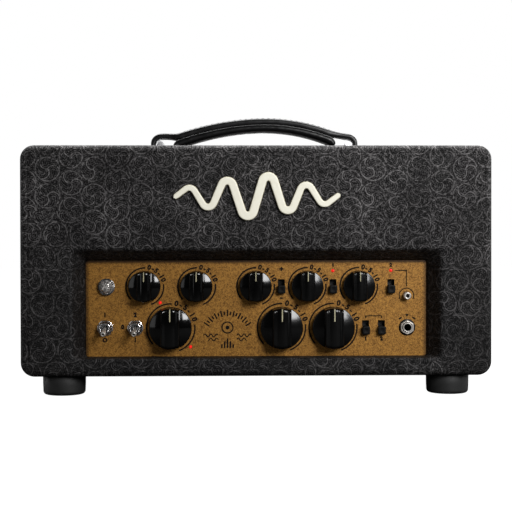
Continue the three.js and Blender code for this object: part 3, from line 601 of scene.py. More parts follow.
def cabinet_skin():
    """The shell as four boards whose surfaces run on into each other at the corners."""
    profile = shell_profile()
    loops = []
    for inset, y, _ in profile:
        radius = max(CORNER - inset, 0.6)
        loops.append(at_depth(y, rect_loop(HALF_WIDTH - inset, BOTTOM + inset, TOP - inset, radius)))
    rows, columns = len(loops), len(loops[0])
    whole = hooped(loops)
    normals = np.array([v.normal[:] for v in whole.vertices]).reshape(rows, columns, 3)
    level, upright = CORNER_STEPS + ACROSS, CORNER_STEPS + UP
    marks = [CORNER_STEPS // 2 + past for past in (0, level, level + upright, 2 * level + upright)]
    names = ("cabinet_top_board", "cabinet_left_board", "cabinet_bottom_board", "cabinet_right_board")
    for index, name in enumerate(names):
        first = marks[index]
        count = (marks[(index + 1) % 4] - first) % columns + 1
        picked = [(first + k) % columns for k in range(count)]
        board_points = [loops[i][j] for i in range(rows) for j in picked]
        faces = grid_faces(rows, count, close_rows=True)
        covered = [
            profile[i][2] and profile[(i + 1) % rows][2] for i in range(rows) for _ in range(count - 1)
        ]
        ends = [[i * count for i in range(rows)], [i * count + count - 1 for i in reversed(range(rows))]]
        mesh = mesh_of(board_points, faces + ends)
        if mesh.polygons[0].normal.dot(Vector(normals[0, picked[0]])) < 0:
            mesh.flip_normals()
        replaces = ("cabinet_shell",) if index == 0 else ()
        add_piece(name, mesh, [vinyl, inside_paint], replaces=replaces)
        custom = []
        for polygon in mesh.polygons:
            if polygon.index < len(covered):
                polygon.material_index = 0 if covered[polygon.index] else 1
                custom += [tuple(normals[v // count, picked[v % count]]) for v in polygon.vertices]
            else:
                custom += [tuple(polygon.normal)] * len(polygon.vertices)
        mesh.normals_split_custom_set(custom)
    bpy.data.meshes.remove(whole)


def baffle_skin():
    """The front board in its vinyl, with rounded arrises round its lip and round the bevelled opening."""
    spread = HALF_WIDTH - SEAM - BAFFLE_HIGH.x
    lip = BAFFLE_HIGH.x + spread
    rounding = 0.15
    opening_round = 2.6
    depth = WINDOW["depth"]

    def outer(inset, y):
        low, high = BAFFLE_LOW.z - spread + inset, BAFFLE_HIGH.z + spread - inset
        return at_depth(y, rect_loop(lip - inset, low, high, CORNER - SEAM))

    def window(t, y, spread=0.0):
        """The opening's outline at t of its depth; its sill is level, its other sides slope. The sill's vinyl
        lies just clear of the bottom board's inner face."""
        grow = WINDOW["bevel"] * (1 - t)
        high = LEDGE_Z + WINDOW["height"] + grow + spread
        radius = WINDOW["corner"] + grow * 0.35
        half_width = WINDOW["half_width"] + grow + spread
        return at_depth(y, rect_loop(half_width, LEDGE_Z + 0.25 - spread, high, radius))

    start = outer(rounding, FRONT)
    loops = [outer(0, FRONT + LIP_DEPTH), outer(0, FRONT + rounding), start]
    edge = window(0, FRONT, opening_round)
    for k in range(1, 8):
        t = k / 8
        loops.append([tuple(a * (1 - t) + b * t for a, b in zip(p, q)) for p, q in zip(start, edge)])
    for a, b in arc_points((0, 0), opening_round, 90, 10, 5):
        loops.append(window((opening_round - b) / depth, FRONT + opening_round - b, opening_round - a))
    loops += [window(t, FRONT + depth * t) for t in (0.25, 0.45, 0.65, 0.85, 1.0)]
    inner = rect_loop(BAFFLE_HIGH.x - 9.7, LEDGE_Z - 0.1, TOP - WALL - 0.3, 0.8)
    loops += [at_depth(FRONT + depth, inner), at_depth(FRONT + LIP_DEPTH, inner)]
    add_piece("baffle_vinyl", hooped(loops), front_vinyl, replaces=("front_baffle",))


cabinet_skin()
baffle_skin()

# ---- Badge ----


def rounded_path(corners, radius):
    """Points along a zigzag of (x, z) corners whose turns are arcs of a radius."""
    steps = 9
    path = [Vector(corners[0])]
    for before, corner, after in zip(corners, corners[1:], corners[2:]):
        corner = Vector(corner)
        arriving = (corner - Vector(before)).normalized()
        leaving = (Vector(after) - corner).normalized()
        turn = arriving.angle_signed(leaving)
        start = corner - arriving * radius * math.tan(abs(turn) / 2)
        side = Vector((arriving.y, -arriving.x)) * math.copysign(radius, turn)
        for k in range(steps + 1):
            angle = -turn * k / steps
            spoke = Vector((side.x * math.cos(angle) - side.y * math.sin(angle),
                            side.x * math.sin(angle) + side.y * math.cos(angle)))
            path.append(start + side - spoke)
    path.append(Vector(corners[-1]))
    return path


def evenly(path, pitch):
    """The same path with points every pitch millimetres."""
    lengths = np.cumsum([0.0] + [(b - a).length for a, b in zip(path, path[1:])])
    stops = np.linspace(0, lengths[-1], max(2, round(lengths[-1] / pitch)) + 1)
    xs = np.interp(stops, lengths, [p[0] for p in path])
    zs = np.interp(stops, lengths, [p[1] for p in path])
    return [Vector((float(x), float(z))) for x, z in zip(xs, zs)], stops


def badge():
    """The raised ribbon: a wave that grows and dies away, crowned, with rounded edges and ends."""
    _, middle = middle_of("front_badge")
    path, stops = evenly(rounded_path([(x, middle + z) for x, z in BADGE_CORNERS], BADGE_TURN), 1.0)
    thickness = FRONT - span("front_badge")[0].y
    length = stops[-1]
    points = []
    for place, heading, stop in zip(path, headings(path), stops):
        side = Vector((-heading.y, heading.x))
        full = BADGE_HALF * (0.62 + 0.38 * math.sin(math.pi * (stop / length)))
        from_end = min(stop, length - stop)
        half = math.sqrt(max(full**2 - max(full - from_end, 0.0) ** 2, 0.02))
        edge = min(1.3, half * 0.8)
        section = [(-half, 0.0), (-half, thickness - edge)]
        section += [(-half + edge - a, thickness - edge + b) for a, b in arc_points((0, 0), edge, 25, 90, 3)]
        section += [(-half * 0.35, thickness), (half * 0.35, thickness)]
        section += [(-a, b) for a, b in reversed(section[:-2])]
        points += [(place.x + side.x * a, FRONT - b, place.y + side.y * a) for a, b in section]
    mesh = capped(points, len(section))
    add_piece("badge_ribbon", mesh, badge_cream, replaces=("front_badge",))


badge()

# ---- Handle ----

PIN_X = middle_of("handle_bracket_right")[0]
PIN_Z = span("handle_bracket_right")[1].z - 3.6
STRAP = {
    "top": 38.1, "radius": 249, "half": 11, "thick": 8,
    "loop_half": 9.9, "loop_thick": 6.1, "tail_thick": 2.6,
}
LOOP_X, LOOP_Z = PIN_X - 1.0, PIN_Z - 0.2
LOOP_RADII = (9.2, 9.6)
STRAP_CENTRE_Z = TOP + STRAP["top"] - STRAP["radius"]
ARC_END_X = 79.5  # where the strap leaves its arc for the loop
STITCH = 6.2  # from one stitch to the next


def eased(t):
    """From 0 to 1 with level ends, as t goes from 0 to 1."""
    t = min(max(t, 0.0), 1.0)
    return t * t * (3 - 2 * t)


def lean(x):
    """How much higher the handle is at a place across the cabinet, having been pushed a little aside."""
    t = x / 65
    return 1.9 * t * math.exp(0.5 * (1 - t * t)) * eased((102 - abs(x)) / 20)


def leaned(mesh):
    """The mesh with the handle's lean."""
    for vertex in mesh.vertices:
        vertex.co.z += mm(lean(vertex.co.x * 1000))
    return mesh


def swept(path, sections):
    """A solid along (x, z) points, with a section of (across, out) points at each of them."""
    points = []
    for place, heading, section in zip(path, headings(path), sections):
        out = Vector((-heading.y, heading.x))
        points += [(place.x + out.x * o, HANDLE_Y + a, place.y + out.y * o) for a, o in section]
    return capped(points, len(sections[0]))


def band_section(half, thick, pucker):
    """A rounded strap section, its upper edges lifted by the stitches."""
    count = 28
    section = []
    for k in range(count):
        turn = math.tau * k / count
        c, s = math.cos(turn), math.sin(turn)
        across = half * math.copysign(abs(c) ** 0.42, c)
        out = thick / 2 * math.copysign(abs(s) ** 0.5, s)
        if s > 0.2:
            out += pucker * (1 - min(abs(abs(across) - half * 0.82) / (half * 0.3), 1))
        section.append((across, out))
    return section


def bezier(a, b, c, d, steps):
    return [
        a * (1 - t) ** 3 + b * 3 * t * (1 - t) ** 2 + c * 3 * t * t * (1 - t) + d * t**3
        for t in np.linspace(0, 1, steps + 1)
    ]


def strap_half_path():
    """From the crown to the tail inside the grip: over the arc, round the pin and back."""
    middle = STRAP["radius"] - STRAP["thick"] / 2
    turn = math.asin(ARC_END_X / middle)
    arc = [
        Vector((middle * math.sin(t), STRAP_CENTRE_Z + middle * math.cos(t)))
        for t in np.linspace(0, turn, 150)
    ]
    loop = [Vector(p) for p in arc_points((LOOP_X, LOOP_Z), LOOP_RADII, 92, -95, 27)]
    leaving = Vector((math.cos(turn), -math.sin(turn)))
    arriving = (loop[1] - loop[0]).normalized()
    neck = bezier(arc[-1], arc[-1] + leaving * 5, loop[0] - arriving * 9 + Vector((0, 0.9)), loop[0], 14)
    tail_end = Vector((84, LOOP_Z - 0.5))
    back = (loop[-1] - loop[-2]).normalized()
    tail = bezier(loop[-1], loop[-1] + back * 7, tail_end + Vector((6, -3)), tail_end, 8)
    path = arc + neck[1:-1] + loop + tail[1:]
    widths = [STRAP["half"]] * len(arc)
    thicks = [STRAP["thick"]] * len(arc)
    for t in np.linspace(0, 1, len(neck))[1:-1]:
        ease = eased(1.3 * t)
        widths.append(STRAP["half"] + (STRAP["loop_half"] - STRAP["half"]) * ease)
        thicks.append(STRAP["thick"] + (STRAP["loop_thick"] - STRAP["thick"]) * ease)
    for t in np.linspace(0, 1, len(loop)):
        ease = max(0.0, min(1.0, (t - 0.35) / 0.45))
        widths.append(STRAP["loop_half"])
        thicks.append(STRAP["loop_thick"] + (STRAP["tail_thick"] - STRAP["loop_thick"]) * ease)
    widths += [STRAP["loop_half"] - 0.3] * (len(tail) - 1)
    thicks += [STRAP["tail_thick"]] * (len(tail) - 1)
    return path, widths, thicks


def mirrored(values, flip):
    return [flip(v) for v in reversed(values[1:])] + values


def handle_strap():
    path, widths, thicks = strap_half_path()
    path = mirrored(path, lambda p: Vector((-p.x, p.y)))
    widths = mirrored(widths, float)
    thicks = mirrored(thicks, float)
    travelled = 0.0
    sections = []
    for k, place in enumerate(path):
        travelled += (place - path[k - 1]).length if k else 0.0
        stitched = thicks[k] > STRAP["thick"] - 0.1
        pucker = 0.05 * (0.5 + 0.5 * math.cos(math.tau * travelled / STITCH)) if stitched else 0.0
        sections.append(band_section(widths[k], thicks[k], pucker))
    add_piece(
        "handle_strap_band", leaned(swept(path, sections)), handle_vinyl, body="handle",
        replaces=("handle_strap",),
    )


def on_arc(along, depth):
    """The point, as (x, z), at an arc length from the crown and a depth below the strap's top."""
    turn = along / STRAP["radius"]
    reach = STRAP["radius"] - depth
    return reach * math.sin(turn), STRAP_CENTRE_Z + reach * math.cos(turn)


PAD_LENGTH = 95.5  # along the arc, from the crown to the pad's end
PAD_CURL = 9.0  # the last part, where its upper edge curls down to the underside


def pad_edge(along):
    """Depth of the pad's welt below the strap's top."""
    past = max(0.0, abs(along) - (PAD_LENGTH - PAD_CURL)) / PAD_CURL
    return 8.2 + 6.6 * (1 - math.sqrt(max(0.0, 1 - past * past)))


def handle_pad():
    """The padded lower half of the handle: a bulging, welted cover that curls down at both ends."""
    stops = np.concatenate([
        np.linspace(-PAD_LENGTH, PAD_CURL - PAD_LENGTH, 12)[:-1],
        np.linspace(PAD_CURL - PAD_LENGTH, PAD_LENGTH - PAD_CURL, 70),
        np.linspace(PAD_LENGTH - PAD_CURL, PAD_LENGTH, 12)[1:],
    ])
    points = []
    for along in stops:
        edge = pad_edge(along)
        floor = 15.4 + 1.0 * (along / PAD_LENGTH) ** 2
        slack = (floor - edge) / 7.2
        pull = 1 - 0.10 * (1 - min(slack, 1.0))
        wrinkle = 0.12 * math.sin(along * 0.9) * math.sin(along * 0.23)
        half = [(0, edge - 1.4), (8.5, edge - 1.4), (11.6, edge - 1.1), (12.9, edge - 0.1)]
        half += [(13.3, edge + 0.7 * slack), (13.7 + wrinkle, edge + 2.2 * slack)]
        half += [(13.6 + wrinkle, edge + 3.7 * slack), (12.6, edge + 5.2 * slack)]
        half += [(10.6, edge + 6.4 * slack), (7.4, floor - 0.15), (3.6, floor), (0, floor)]
        section = [(a * pull, d) for a, d in half] + [(-a * pull, d) for a, d in reversed(half[1:-1])]
        for across, depth in section:
            px, pz = on_arc(along, depth)
            points.append((px, HANDLE_Y + across, pz))
    mesh = leaned(capped(points, len(section)))
    pad = add_piece(
        "handle_pad", mesh, handle_vinyl, body="handle", replaces=("handle_grip",)
    )
    round_off = pad.modifiers.new("rounded", "SUBSURF")
    round_off.levels = 1
    round_off.render_levels = 1


def tube(path, radius, sides=10):
    """A round cord through 3-D points in millimetres."""
    points = []
    for k, (place, heading) in enumerate(zip(path, headings(path))):
        first = (first - heading * first.dot(heading) if k else heading.orthogonal()).normalized()
        second = heading.cross(first)
        girth = radius * (0.35 if k in (0, len(path) - 1) else 1.0)
        for j in range(sides):
            turn = math.tau * j / sides
            points.append(tuple(place + (first * math.cos(turn) + second * math.sin(turn)) * girth))
    return capped(points, sides)


def handle_welts():
    """A round cord along each side of the pad, and the thread of the strap's edge stitches."""
    cords = []
    for side in (-1, 1):
        path = []
        for along in np.linspace(-PAD_LENGTH + 0.4, PAD_LENGTH - 0.4, 120):
            px, pz = on_arc(along, pad_edge(along) + 0.1)
            path.append(Vector((px, HANDLE_Y + side * 13.05, pz)))
        cords.append(tube(path, 0.85))
    add_piece("handle_welts", leaned(joined(cords)), handle_vinyl, body="handle")
    threads = []
    for side in (-1, 1):
        for k in range(-13, 14):
            path = []
            for step in np.linspace(-2.0, 2.0, 5):
                px, pz = on_arc((k + 0.5) * STITCH + step, 0.16 + 0.08 * step * step)
                path.append(Vector((px, HANDLE_Y + side * 7.6, pz)))
            threads.append(tube(path, 0.26, 6))
    add_piece("handle_stitches", leaned(joined(threads)), thread_black, body="handle")


handle_strap()
handle_pad()
handle_welts()

# ---- Knobs ----

SHOULDER = 0.40  # how much of a knob's height is its disc; the rest is its bar
BAR_INSET = 0.35  # from the disc's rim to the bar's ends


def bar_height(along, top, base, reach):
    """Height of the grip bar at a place along it: level, then rounded off at both ends."""
    t = min(abs(along) / reach, 1.0)
    return base + (top - base) * (1 - t**26) ** 0.5 * (1 - 0.03 * t * t)


def knob_mesh(x, z, radius, height):
    """A round gloss knob: a domed disc with a raised bar across it, fluted along the top."""
    shoulder = SHOULDER * height
    curve = 2.9 * radius
    crown = math.sqrt(curve**2 - (radius - 0.7) ** 2)
    dome = [(0.1, 1.0), (radius - 0.8, 1.0), (radius - 0.15, 1.3), (radius, 1.9), (radius, shoulder - 0.5)]
    dome += [(radius - 0.2, shoulder - 0.12), (radius - 0.7, shoulder)]
    dome += [
        (radius * f, shoulder + math.sqrt(curve**2 - (radius * f) ** 2) - crown)
        for f in (0.9, 0.8, 0.65, 0.5, 0.3, 0.1)
    ]
    body = lathe(dome, 64, "y", (x, PLATE, z))
    half = 0.43 * radius
    lip = 0.9
    section = [(-half - 0.7, shoulder), (-half - 0.25, height * 0.7), (-half, height - 2.4)]
    section += [(-half + 0.12, height - lip)]
    section += [(-half + lip - a, height - lip + b) for a, b in arc_points((0, 0), lip, 25, 90, 3)]
    section += [(-half * 0.72, height - 0.15), (-half * 0.64, height - 0.85), (-half * 0.52, height - 1.0)]
    section += [(-half * 0.40, height - 0.55), (-half * 0.2, height - 0.35), (0, height - 0.3)]
    section += [(-a, h) for a, h in reversed(section[:-1])]
    points = []
    steps = 36
    for across, level in section:
        reach = math.sqrt((radius - BAR_INSET) ** 2 - across**2)
        for k in range(steps + 1):
            along = -reach * math.cos(math.pi * k / steps)
            out = bar_height(along, level, shoulder, reach) if level > shoulder else shoulder
            points.append((x + across, PLATE - out, z + along))
    columns = steps + 1
    faces = grid_faces(len(section), columns)
    last = (len(section) - 1) * columns
    faces.append(list(range(columns)) + [last + k for k in reversed(range(columns))])
    bar = fix_normals(mesh_of(points, faces))
    return joined([body, bar])


def pointer_mesh(x, z, radius, height):
    """The cream line let into the top of the bar, from the rim most of the way to the middle."""
    half, lift = (0.46 if radius < 17 else 0.58), 0.12
    reach = math.sqrt((radius - BAR_INSET) ** 2 - half**2)
    stops = np.linspace(0.34 * radius, reach * 0.985, 14)
    points = []
    for side, sink in ((-half, 0.6), (-half, 0.0), (half, 0.0), (half, 0.6)):
        for along in stops:
            out = bar_height(along, height - 0.3, SHOULDER * height, reach) + lift - sink
            points.append((x + side, PLATE - out, z + along))
    n = len(stops)
    faces = grid_faces(4, n, close_rows=True)
    faces += [[row * n for row in range(4)], [row * n + n - 1 for row in range(4)]]
    return fix_normals(mesh_of(points, faces))


def knob(name, height):
    """A knob's cap and its pointer."""
    node, body = f"knob_{name}", f"{name}_knob"
    x, z = middle_of(node)
    shape = (x, z, span(node)[1].z - z, height)
    add_piece(f"{body}_cap", knob_mesh(*shape), knob_gloss, body=body, replaces=(node,))
    add_piece(f"{body}_pointer", pointer_mesh(*shape), pointer_cream, body=body, smooth=False)


for name in SMALL_KNOBS:
    knob(name, height=17.5)
for name in LARGE_KNOBS:
    knob(name, height=22.0)

# ---- Panel print ----

PRINT_Y = PLATE - 0.06
DIAL_LINE = 1.55
FINE_LINE = 1.0


def stroke(path, width):
    """A flat printed line along a path of (x, z) points on the faceplate."""
    points = []
    count = len(path)
    for k, (px, pz) in enumerate(path):
        ahead = path[min(k + 1, count - 1)]
        behind = path[max(k - 1, 0)]
        heading = Vector((ahead[0] - behind[0], ahead[1] - behind[1])).normalized()
        side = Vector((-heading.y, heading.x)) * width / 2
        points.append((px + side.x, PRINT_Y, pz + side.y))
        points.append((px - side.x, PRINT_Y, pz - side.y))
    faces = [[2 * k, 2 * k + 1, 2 * k + 3, 2 * k + 2] for k in range(count - 1)]
    return mesh_of(points, faces)


def glyph(text, size, x, z, turn=0.0):
    """A figure or short string in Blender's own plain face, centred at x, z and turned by degrees."""
    curve = bpy.data.curves.new("glyph", "FONT")
    curve.body = text
    curve.size = mm(size)
    curve.align_x = "CENTER"
    curve.align_y = "CENTER"
    curve.offset = mm(0.42)
    holder = bpy.data.objects.new("glyph", curve)
    mesh = bpy.data.meshes.new_from_object(holder)
    upright = Matrix.Rotation(math.radians(90), 4, "X")
    turned = Matrix.Rotation(math.radians(-turn), 4, "Y")
    mesh.transform(Matrix.Translation(mm(x, PRINT_Y, z)) @ turned @ upright)
    bpy.data.objects.remove(holder)
    bpy.data.curves.remove(curve)
    return mesh


def curved_label(characters, cx, cz, radius, start, end, size):
    """Characters spaced evenly along an arc, reading clockwise."""
    meshes = []
    for k, character in enumerate(characters):
        angle = start + (end - start) * k / (len(characters) - 1)
        x = cx + radius * math.cos(math.radians(angle))
        z = cz + radius * math.sin(math.radians(angle))
        meshes.append(glyph(character, size, x, z, angle - 90))
    return meshes


def filled(points):
    """A flat printed shape with a convex outline of (x, z) points."""
    return mesh_of(at_depth(PRINT_Y, points), [list(range(len(points)))])


def dial_marks():
    """An arc round each knob, broken by its figures and open at the bottom."""
    meshes = []
    for name in SMALL_KNOBS + LARGE_KNOBS:
        x, z = middle_of(f"knob_{name}")
        small = name in SMALL_KNOBS
        radius = 19.2 if small else 24.6
        meshes.append(stroke(arc_points((x, z), radius, 222, 88, 40), DIAL_LINE))
        meshes.append(stroke(arc_points((x, z), radius, 8, -70, 26), DIAL_LINE))
        meshes += curved_label("0-5-10", x, z, radius + 0.8, 77, 20, 6.6 if small else 7.4)
    return meshes


def sound_ornament(cx, cz):
    """A generic mark in the middle of the panel: a fan of ticks, a ringed dot, ripples and level bars."""
    meshes = []
    for k in range(17):
        angle = math.radians(146 - 7 * k)
        inner, outer = (22.5, 29.0) if k % 2 == 0 else (24.0, 27.5)
        ends = [(cx + r * math.cos(angle), cz - 10 + r * math.sin(angle)) for r in (inner, outer)]
        meshes.append(stroke(ends, 1.5))
    meshes.append(stroke(arc_points((cx, cz + 1), 5.6, 0, 360, 40), 1.3))
    meshes.append(filled(arc_points((cx, cz + 1), 2.0, 0, 337.5, 15)))
    for side in (-1, 1):
        for row, length in ((0, 15), (1, 10)):
            ripple = [
                (cx + side * (9.5 + t), cz - 7 - 4.2 * row + 1.5 * math.sin(t * 1.05))
                for t in np.linspace(0, length, 36)
            ]
            meshes.append(stroke(ripple, 1.1))
    for k, height in enumerate((4.0, 7.0, 10.0, 7.0, 4.0)):
        x = cx + (k - 2) * 2.9
        meshes.append(stroke([(x, cz - 20), (x, cz - 20 + height)], 1.6))
    return meshes


def switch_marks():
    """Figures and signs beside the switches, the trimmer and the input."""
    meshes = []
    for text, size, x, z in (
        ("I", 5.8, -154.6, 80.4), ("O", 5.8, -154.6, 54.8), ("2", 5.8, -123.8, 80.4),
        ("1", 5.8, -123.8, 54.8), ("0", 5.8, -136.6, 68.2), ("+", 7.0, 25.4, 127.0),
        ("-", 8.0, 25.4, 98.0), ("1", 5.0, 78.2, 131.0), ("2", 5.0, 137.6, 131.0),
        ("1", 5.2, 111.7, 55.6), ("2", 5.2, 127.9, 55.6),
    ):
        meshes.append(glyph(text, size, x, z))
    # An arc round the trimmer, a line from it to its lamp, and a bracket over the contour switches.
    x, z = middle_of("boost_trim_shaft")
    meshes.append(stroke(arc_points((x, z), 7.5, 207, -27, 30), FINE_LINE))
    lamp_x, lamp_z = 141.4, 125.6
    left, right, foot, top = 111.7, 127.9, 76.6, 79.0
    meshes += [stroke(line, FINE_LINE) for line in (
        [(x, z + 9.3), (x, lamp_z)], [(x + FINE_LINE / 2, lamp_z), (lamp_x, lamp_z)],
        [(left, foot), (left, top)], [(left - FINE_LINE / 2, top), (right + FINE_LINE / 2, top)],
        [(right, top), (right, foot)],
    )]
    # A pointer and two short arcs at the input.
    x, z = middle_of("input_jack_nut")
    meshes.append(filled([(x - 2.0, z + 13.6), (x + 2.0, z + 13.6), (x, z + 10.4)]))
    for start, end in ((62, 44), (136, 118)):
        meshes.append(stroke(arc_points((x, z), 11.6, start, end, 8), 1.5))
    return meshes


printed = dial_marks() + sound_ornament(-29.8, 66.5) + switch_marks()
add_piece("panel_print", joined(printed), print_black, smooth=False)

# ---- Small hardware ----

LEVER_PIVOT = 4  # how far in front of the faceplate the switches' levers pivot
LEVER_TILT = math.radians(15)
REAR_JACKS = [(40 + 32 * k, 86) for k in range(5)]
FUSE = (-95, 88)
INLET_SCREWS = ((-170.5, 88), (-129.5, 88))


def rounded_block(x, z, width, height, near, far, radius, crown=0.0):
    """A block with rounded corners and edges, its outer face at near and its inner one at far."""
    edge = 0.5
    rows = ((0, far), (0, near + edge), (0.15, near + 0.2), (edge, near), (width * 0.3, near - crown))
    loops = []
    for inset, y in rows:
        half, up = width / 2 - inset, height / 2 - inset
        r = max(min(radius, half, up) - inset * 0.5, 0.1)
        loops.append([(x + a, y, z + b) for a, b in rect_loop(half, -up, up, r, 4, 2, 2)])
    return capped([p for loop in loops for p in loop], len(loops[0]))


def slide_caps():
    """The cap of each slide switch, wider than its slot, with a stem down into it."""
    for node in [n for n in nodes if n.startswith("slider_")]:
        x, z = middle_of(node)
        cap = rounded_block(x, z, 7.9, 8.6, PLATE - 6, PLATE - 0.5, 1.6, crown=-0.5)
        stem = rounded_block(x, z, 6.5, 8.0, PLATE - 0.7, span(node)[1].y, 0.8)
        mesh, body = joined([cap, stem]), node.replace("slider_", "") + "_slider"
        add_piece(node + "_cap", mesh, switch_black, body=body, replaces=(node,))


def foot_pieces():
    """Turned rubber feet, rounded at the rim, with a screw up each one's recess."""
    for end in ("front", "rear"):
        for side in ("left", "right"):
            node = f"foot_{end}_{side}"
            low, high = span(node)
            x, y = (low.x + high.x) / 2, (low.y + high.y) / 2
            r = high.x - x
            profile = [(0.1, high.z), (r - 0.3, high.z), (r, high.z - 0.4), (r - 0.15, 10), (r - 0.4, 4.2)]
            profile += [(r - 3.6 + a, 3.6 + b) for a, b in arc_points((0, 0), (3.2, 3.6), -8, -90, 6)]
            profile += [(9.4, 0), (8.4, 0.3), (8, 1.2), (7.8, 9), (0.1, 9)]
            mesh = lathe(profile, 64, "z", (x, y, 0))
            add_piece(node + "_rubber", mesh, rubber, replaces=(node,))
            head = [(0.1, 8.9), (6.4, 8.9), (6.4, 8.4), (5.2, 7.2), (3.0, 6.5), (1.8, 6.4), (1.6, 7.6)]
            add_piece(node + "_screw", lathe(head + [(0.1, 7.6)], 32, "z", (x, y, 0)), plated_steel)


def ring_mesh(x, z, inner, outer, near, far, chamfer, sides=48, wall=PLATE, towards=-1):
    """A chamfered ring standing on a wall from far to near, towards the front, or the rear with towards 1."""
    turns = [math.tau * k / sides for k in range(sides)]
    return hooped([
        [(x + r * math.cos(turn), wall + towards * out, z + r * math.sin(turn)) for turn in turns]
        for r, out in (
            (inner, far), (outer, far), (outer, near - chamfer),
            (outer - chamfer, near), (inner + chamfer, near), (inner, near - chamfer),
        )
    ])


def nut_mesh(x, z, across, hole, near, far, wall=PLATE, towards=-1):
    """A hexagonal nut on a wall, with its corners turned off at the outer face."""
    sides = 60
    corner = across / math.sqrt(3)

    def hexagon(k):
        turn = (math.tau * k / sides) % (math.pi / 3) - math.pi / 6
        return across / 2 / math.cos(turn)

    rows = []
    for limit, out, inner in (
        (corner, far, False), (corner, near - 1.1, False), (across / 2 - 0.1, near, False),
        (hole + 0.5, near, True), (hole, near - 0.5, True), (hole, far, True),
    ):
        row = []
        for k in range(sides):
            turn = math.tau * k / sides + math.pi / 6
            r = limit if inner else min(hexagon(k), limit)
            row.append((x + r * math.cos(turn), wall + towards * out, z + r * math.sin(turn)))
        rows.append(row)
    return hooped(rows)


def front_fittings():
    """Washers, nuts and ferrules of the switches and the input jack."""
    for switch in ("power", "standby"):
        node = f"{switch}_switch_nut"
        x, z = middle_of(node)
        mesh = nut_mesh(x, z, 14.3, 6.2, 2.9, 0.9)
        add_piece(f"{switch}_switch_hex", mesh, chrome, replaces=(node,))
        add_piece(f"{switch}_switch_washer", ring_mesh(x, z, 6.2, 8.1, 0.85, 0.05, 0.15), chrome)
        add_piece(f"{switch}_switch_collar", ring_mesh(x, z, 4.25, 6.0, 8.2, 2.95, 0.45), chrome)
    x, z = middle_of("input_jack_nut")
    mesh = nut_mesh(x, z, 13.4, 5.05, 3.3, 1.0)
    add_piece("input_hex", mesh, nickel, replaces=("input_jack_nut",))
    add_piece("input_washer", ring_mesh(x, z, 5.1, 8.4, 0.95, 0.05, 0.2), switch_black)
    add_piece("input_ferrule", ring_mesh(x, z, 3.45, 4.98, 5.2, 3.35, 0.5), nickel)


def lever_bats():
    """The switches' tapered levers, hollow at the tip with a black disc in the hollow as a painted dark
    reflection, tilted down from their pivots inside the bushings.
    """
    bat = [(0.05, -3), (1.6, -3), (1.6, 4), (2.0, 8.5), (2.6, 13.5), (2.85, 16.2), (2.75, 17.6)]
    bat += [(2.35, 18.7), (1.75, 19.3), (1.3, 19.2), (1.15, 18.9), (1.15, 17.2), (0.05, 17.2)]
    # A black disc at the bottom of the tip's hollow: a painted dark reflection in the chrome tip.
    dark_tip_disc = [(0.05, 17.25), (1.1, 17.25), (1.1, 18.3), (0.05, 18.3)]
    for switch in ("power", "standby"):
        node, body = f"{switch}_switch_lever", f"{switch}_lever"
        x, z = middle_of(f"{switch}_switch_nut")
        centre = (x, PLATE - LEVER_PIVOT, z)
        pivot = Matrix.Translation(mm(*centre))
        tilted = pivot @ Matrix.Rotation(LEVER_TILT, 4, "X") @ pivot.inverted()
        bat_mesh, dark_tip_mesh = lathe(bat, 32, "y", centre), lathe(dark_tip_disc, 16, "y", centre)
        for mesh in (bat_mesh, dark_tip_mesh):
            mesh.transform(tilted)
        add_piece(f"{body}_bat", bat_mesh, nickel, body=body, replaces=(node,))
        add_piece(f"{body}_core", dark_tip_mesh, switch_black, body=body)


def trimmer():
    """The boost trimmer's hollow shaft with the screw down inside it."""
    node, body = "boost_trim_shaft", "boost_trim"
    x, z = middle_of(node)
    sleeve = ring_mesh(x, z, 1.75, 3.8, 9.0, -9.5, 0.5)
    add_piece("boost_trim_sleeve", sleeve, nickel, body=body, replaces=(node,))
    screw = [(0.05, -9.0), (1.7, -9.0), (1.7, 5.6), (1.4, 5.9), (0.05, 5.9)]
    add_piece("boost_trim_screw", lathe(screw, 24, "y", (x, PLATE, z)), switch_black, body=body)


def screw_mesh(x, z, radius, wall):
    """A round-headed screw on a wall that faces the rear, with a cross cut into its head."""
    sides = 32
    rows = [(radius, 0.0), (radius, 0.25), (radius * 0.92, 0.75), (radius * 0.7, 1.3)]
    points = []
    for r, out in rows + [(radius * 0.45, 1.6), (0.1, 1.7)]:
        for k in range(sides):
            turn = math.tau * k / sides
            cut = 0.9 if k % 8 in (0, 1, 7) and r < radius * 0.75 else 0.0
            points.append((x + r * math.cos(turn), wall + out - cut, z + r * math.sin(turn)))
    return capped(points, sides)


def rear_fittings():
    """Nuts and washers of the rear jacks, the fuse cap, and the screws of the back."""
    base, top = span("chassis")
    wall = top.y
    nuts = [nut_mesh(x, z, 13, 4.85, 3.4, 0.95, wall, 1) for x, z in REAR_JACKS]
    add_piece("rear_jack_nuts", joined(nuts), nickel)
    washers = [ring_mesh(x, z, 4.9, 8.4, 0.9, 0.05, 0.2, 48, wall, 1) for x, z in REAR_JACKS]
    add_piece("rear_jack_washers", joined(washers), socket_black)
    add_piece("fuse_ring", ring_mesh(*FUSE, 8.6, 10.4, 2.6, 0.05, 0.5, 12, wall, 1), socket_black)
    low, high = span("back_panel")
    places = [(x, low.z + 9) for x in (-205, -70, 70, 205)] + [(x, high.z - 12) for x in (-205, 205)]
    cups = [ring_mesh(x, z, 3.4, 6.8, 1.5, -0.3, 0.9, 32, high.y, 1) for x, z in places]
    add_piece("back_panel_cups", joined(cups), nickel)
    heads = [screw_mesh(x, z, 3.6, high.y) for x, z in places]
    heads += [
        screw_mesh(x, z, 3.4, wall) for xs in ((-192, 192), (0,)) for z in (base.z + 8, top.z - 8) for x in xs
    ]
    heads += [screw_mesh(x, z, 2.9, span("mains_inlet")[1].y) for x, z in INLET_SCREWS]
    add_piece("back_screws", joined(heads), plated_steel)


slide_caps()
foot_pieces()
front_fittings()
lever_bats()
trimmer()
rear_fittings()

# ---- CAD nodes that keep their shape ----

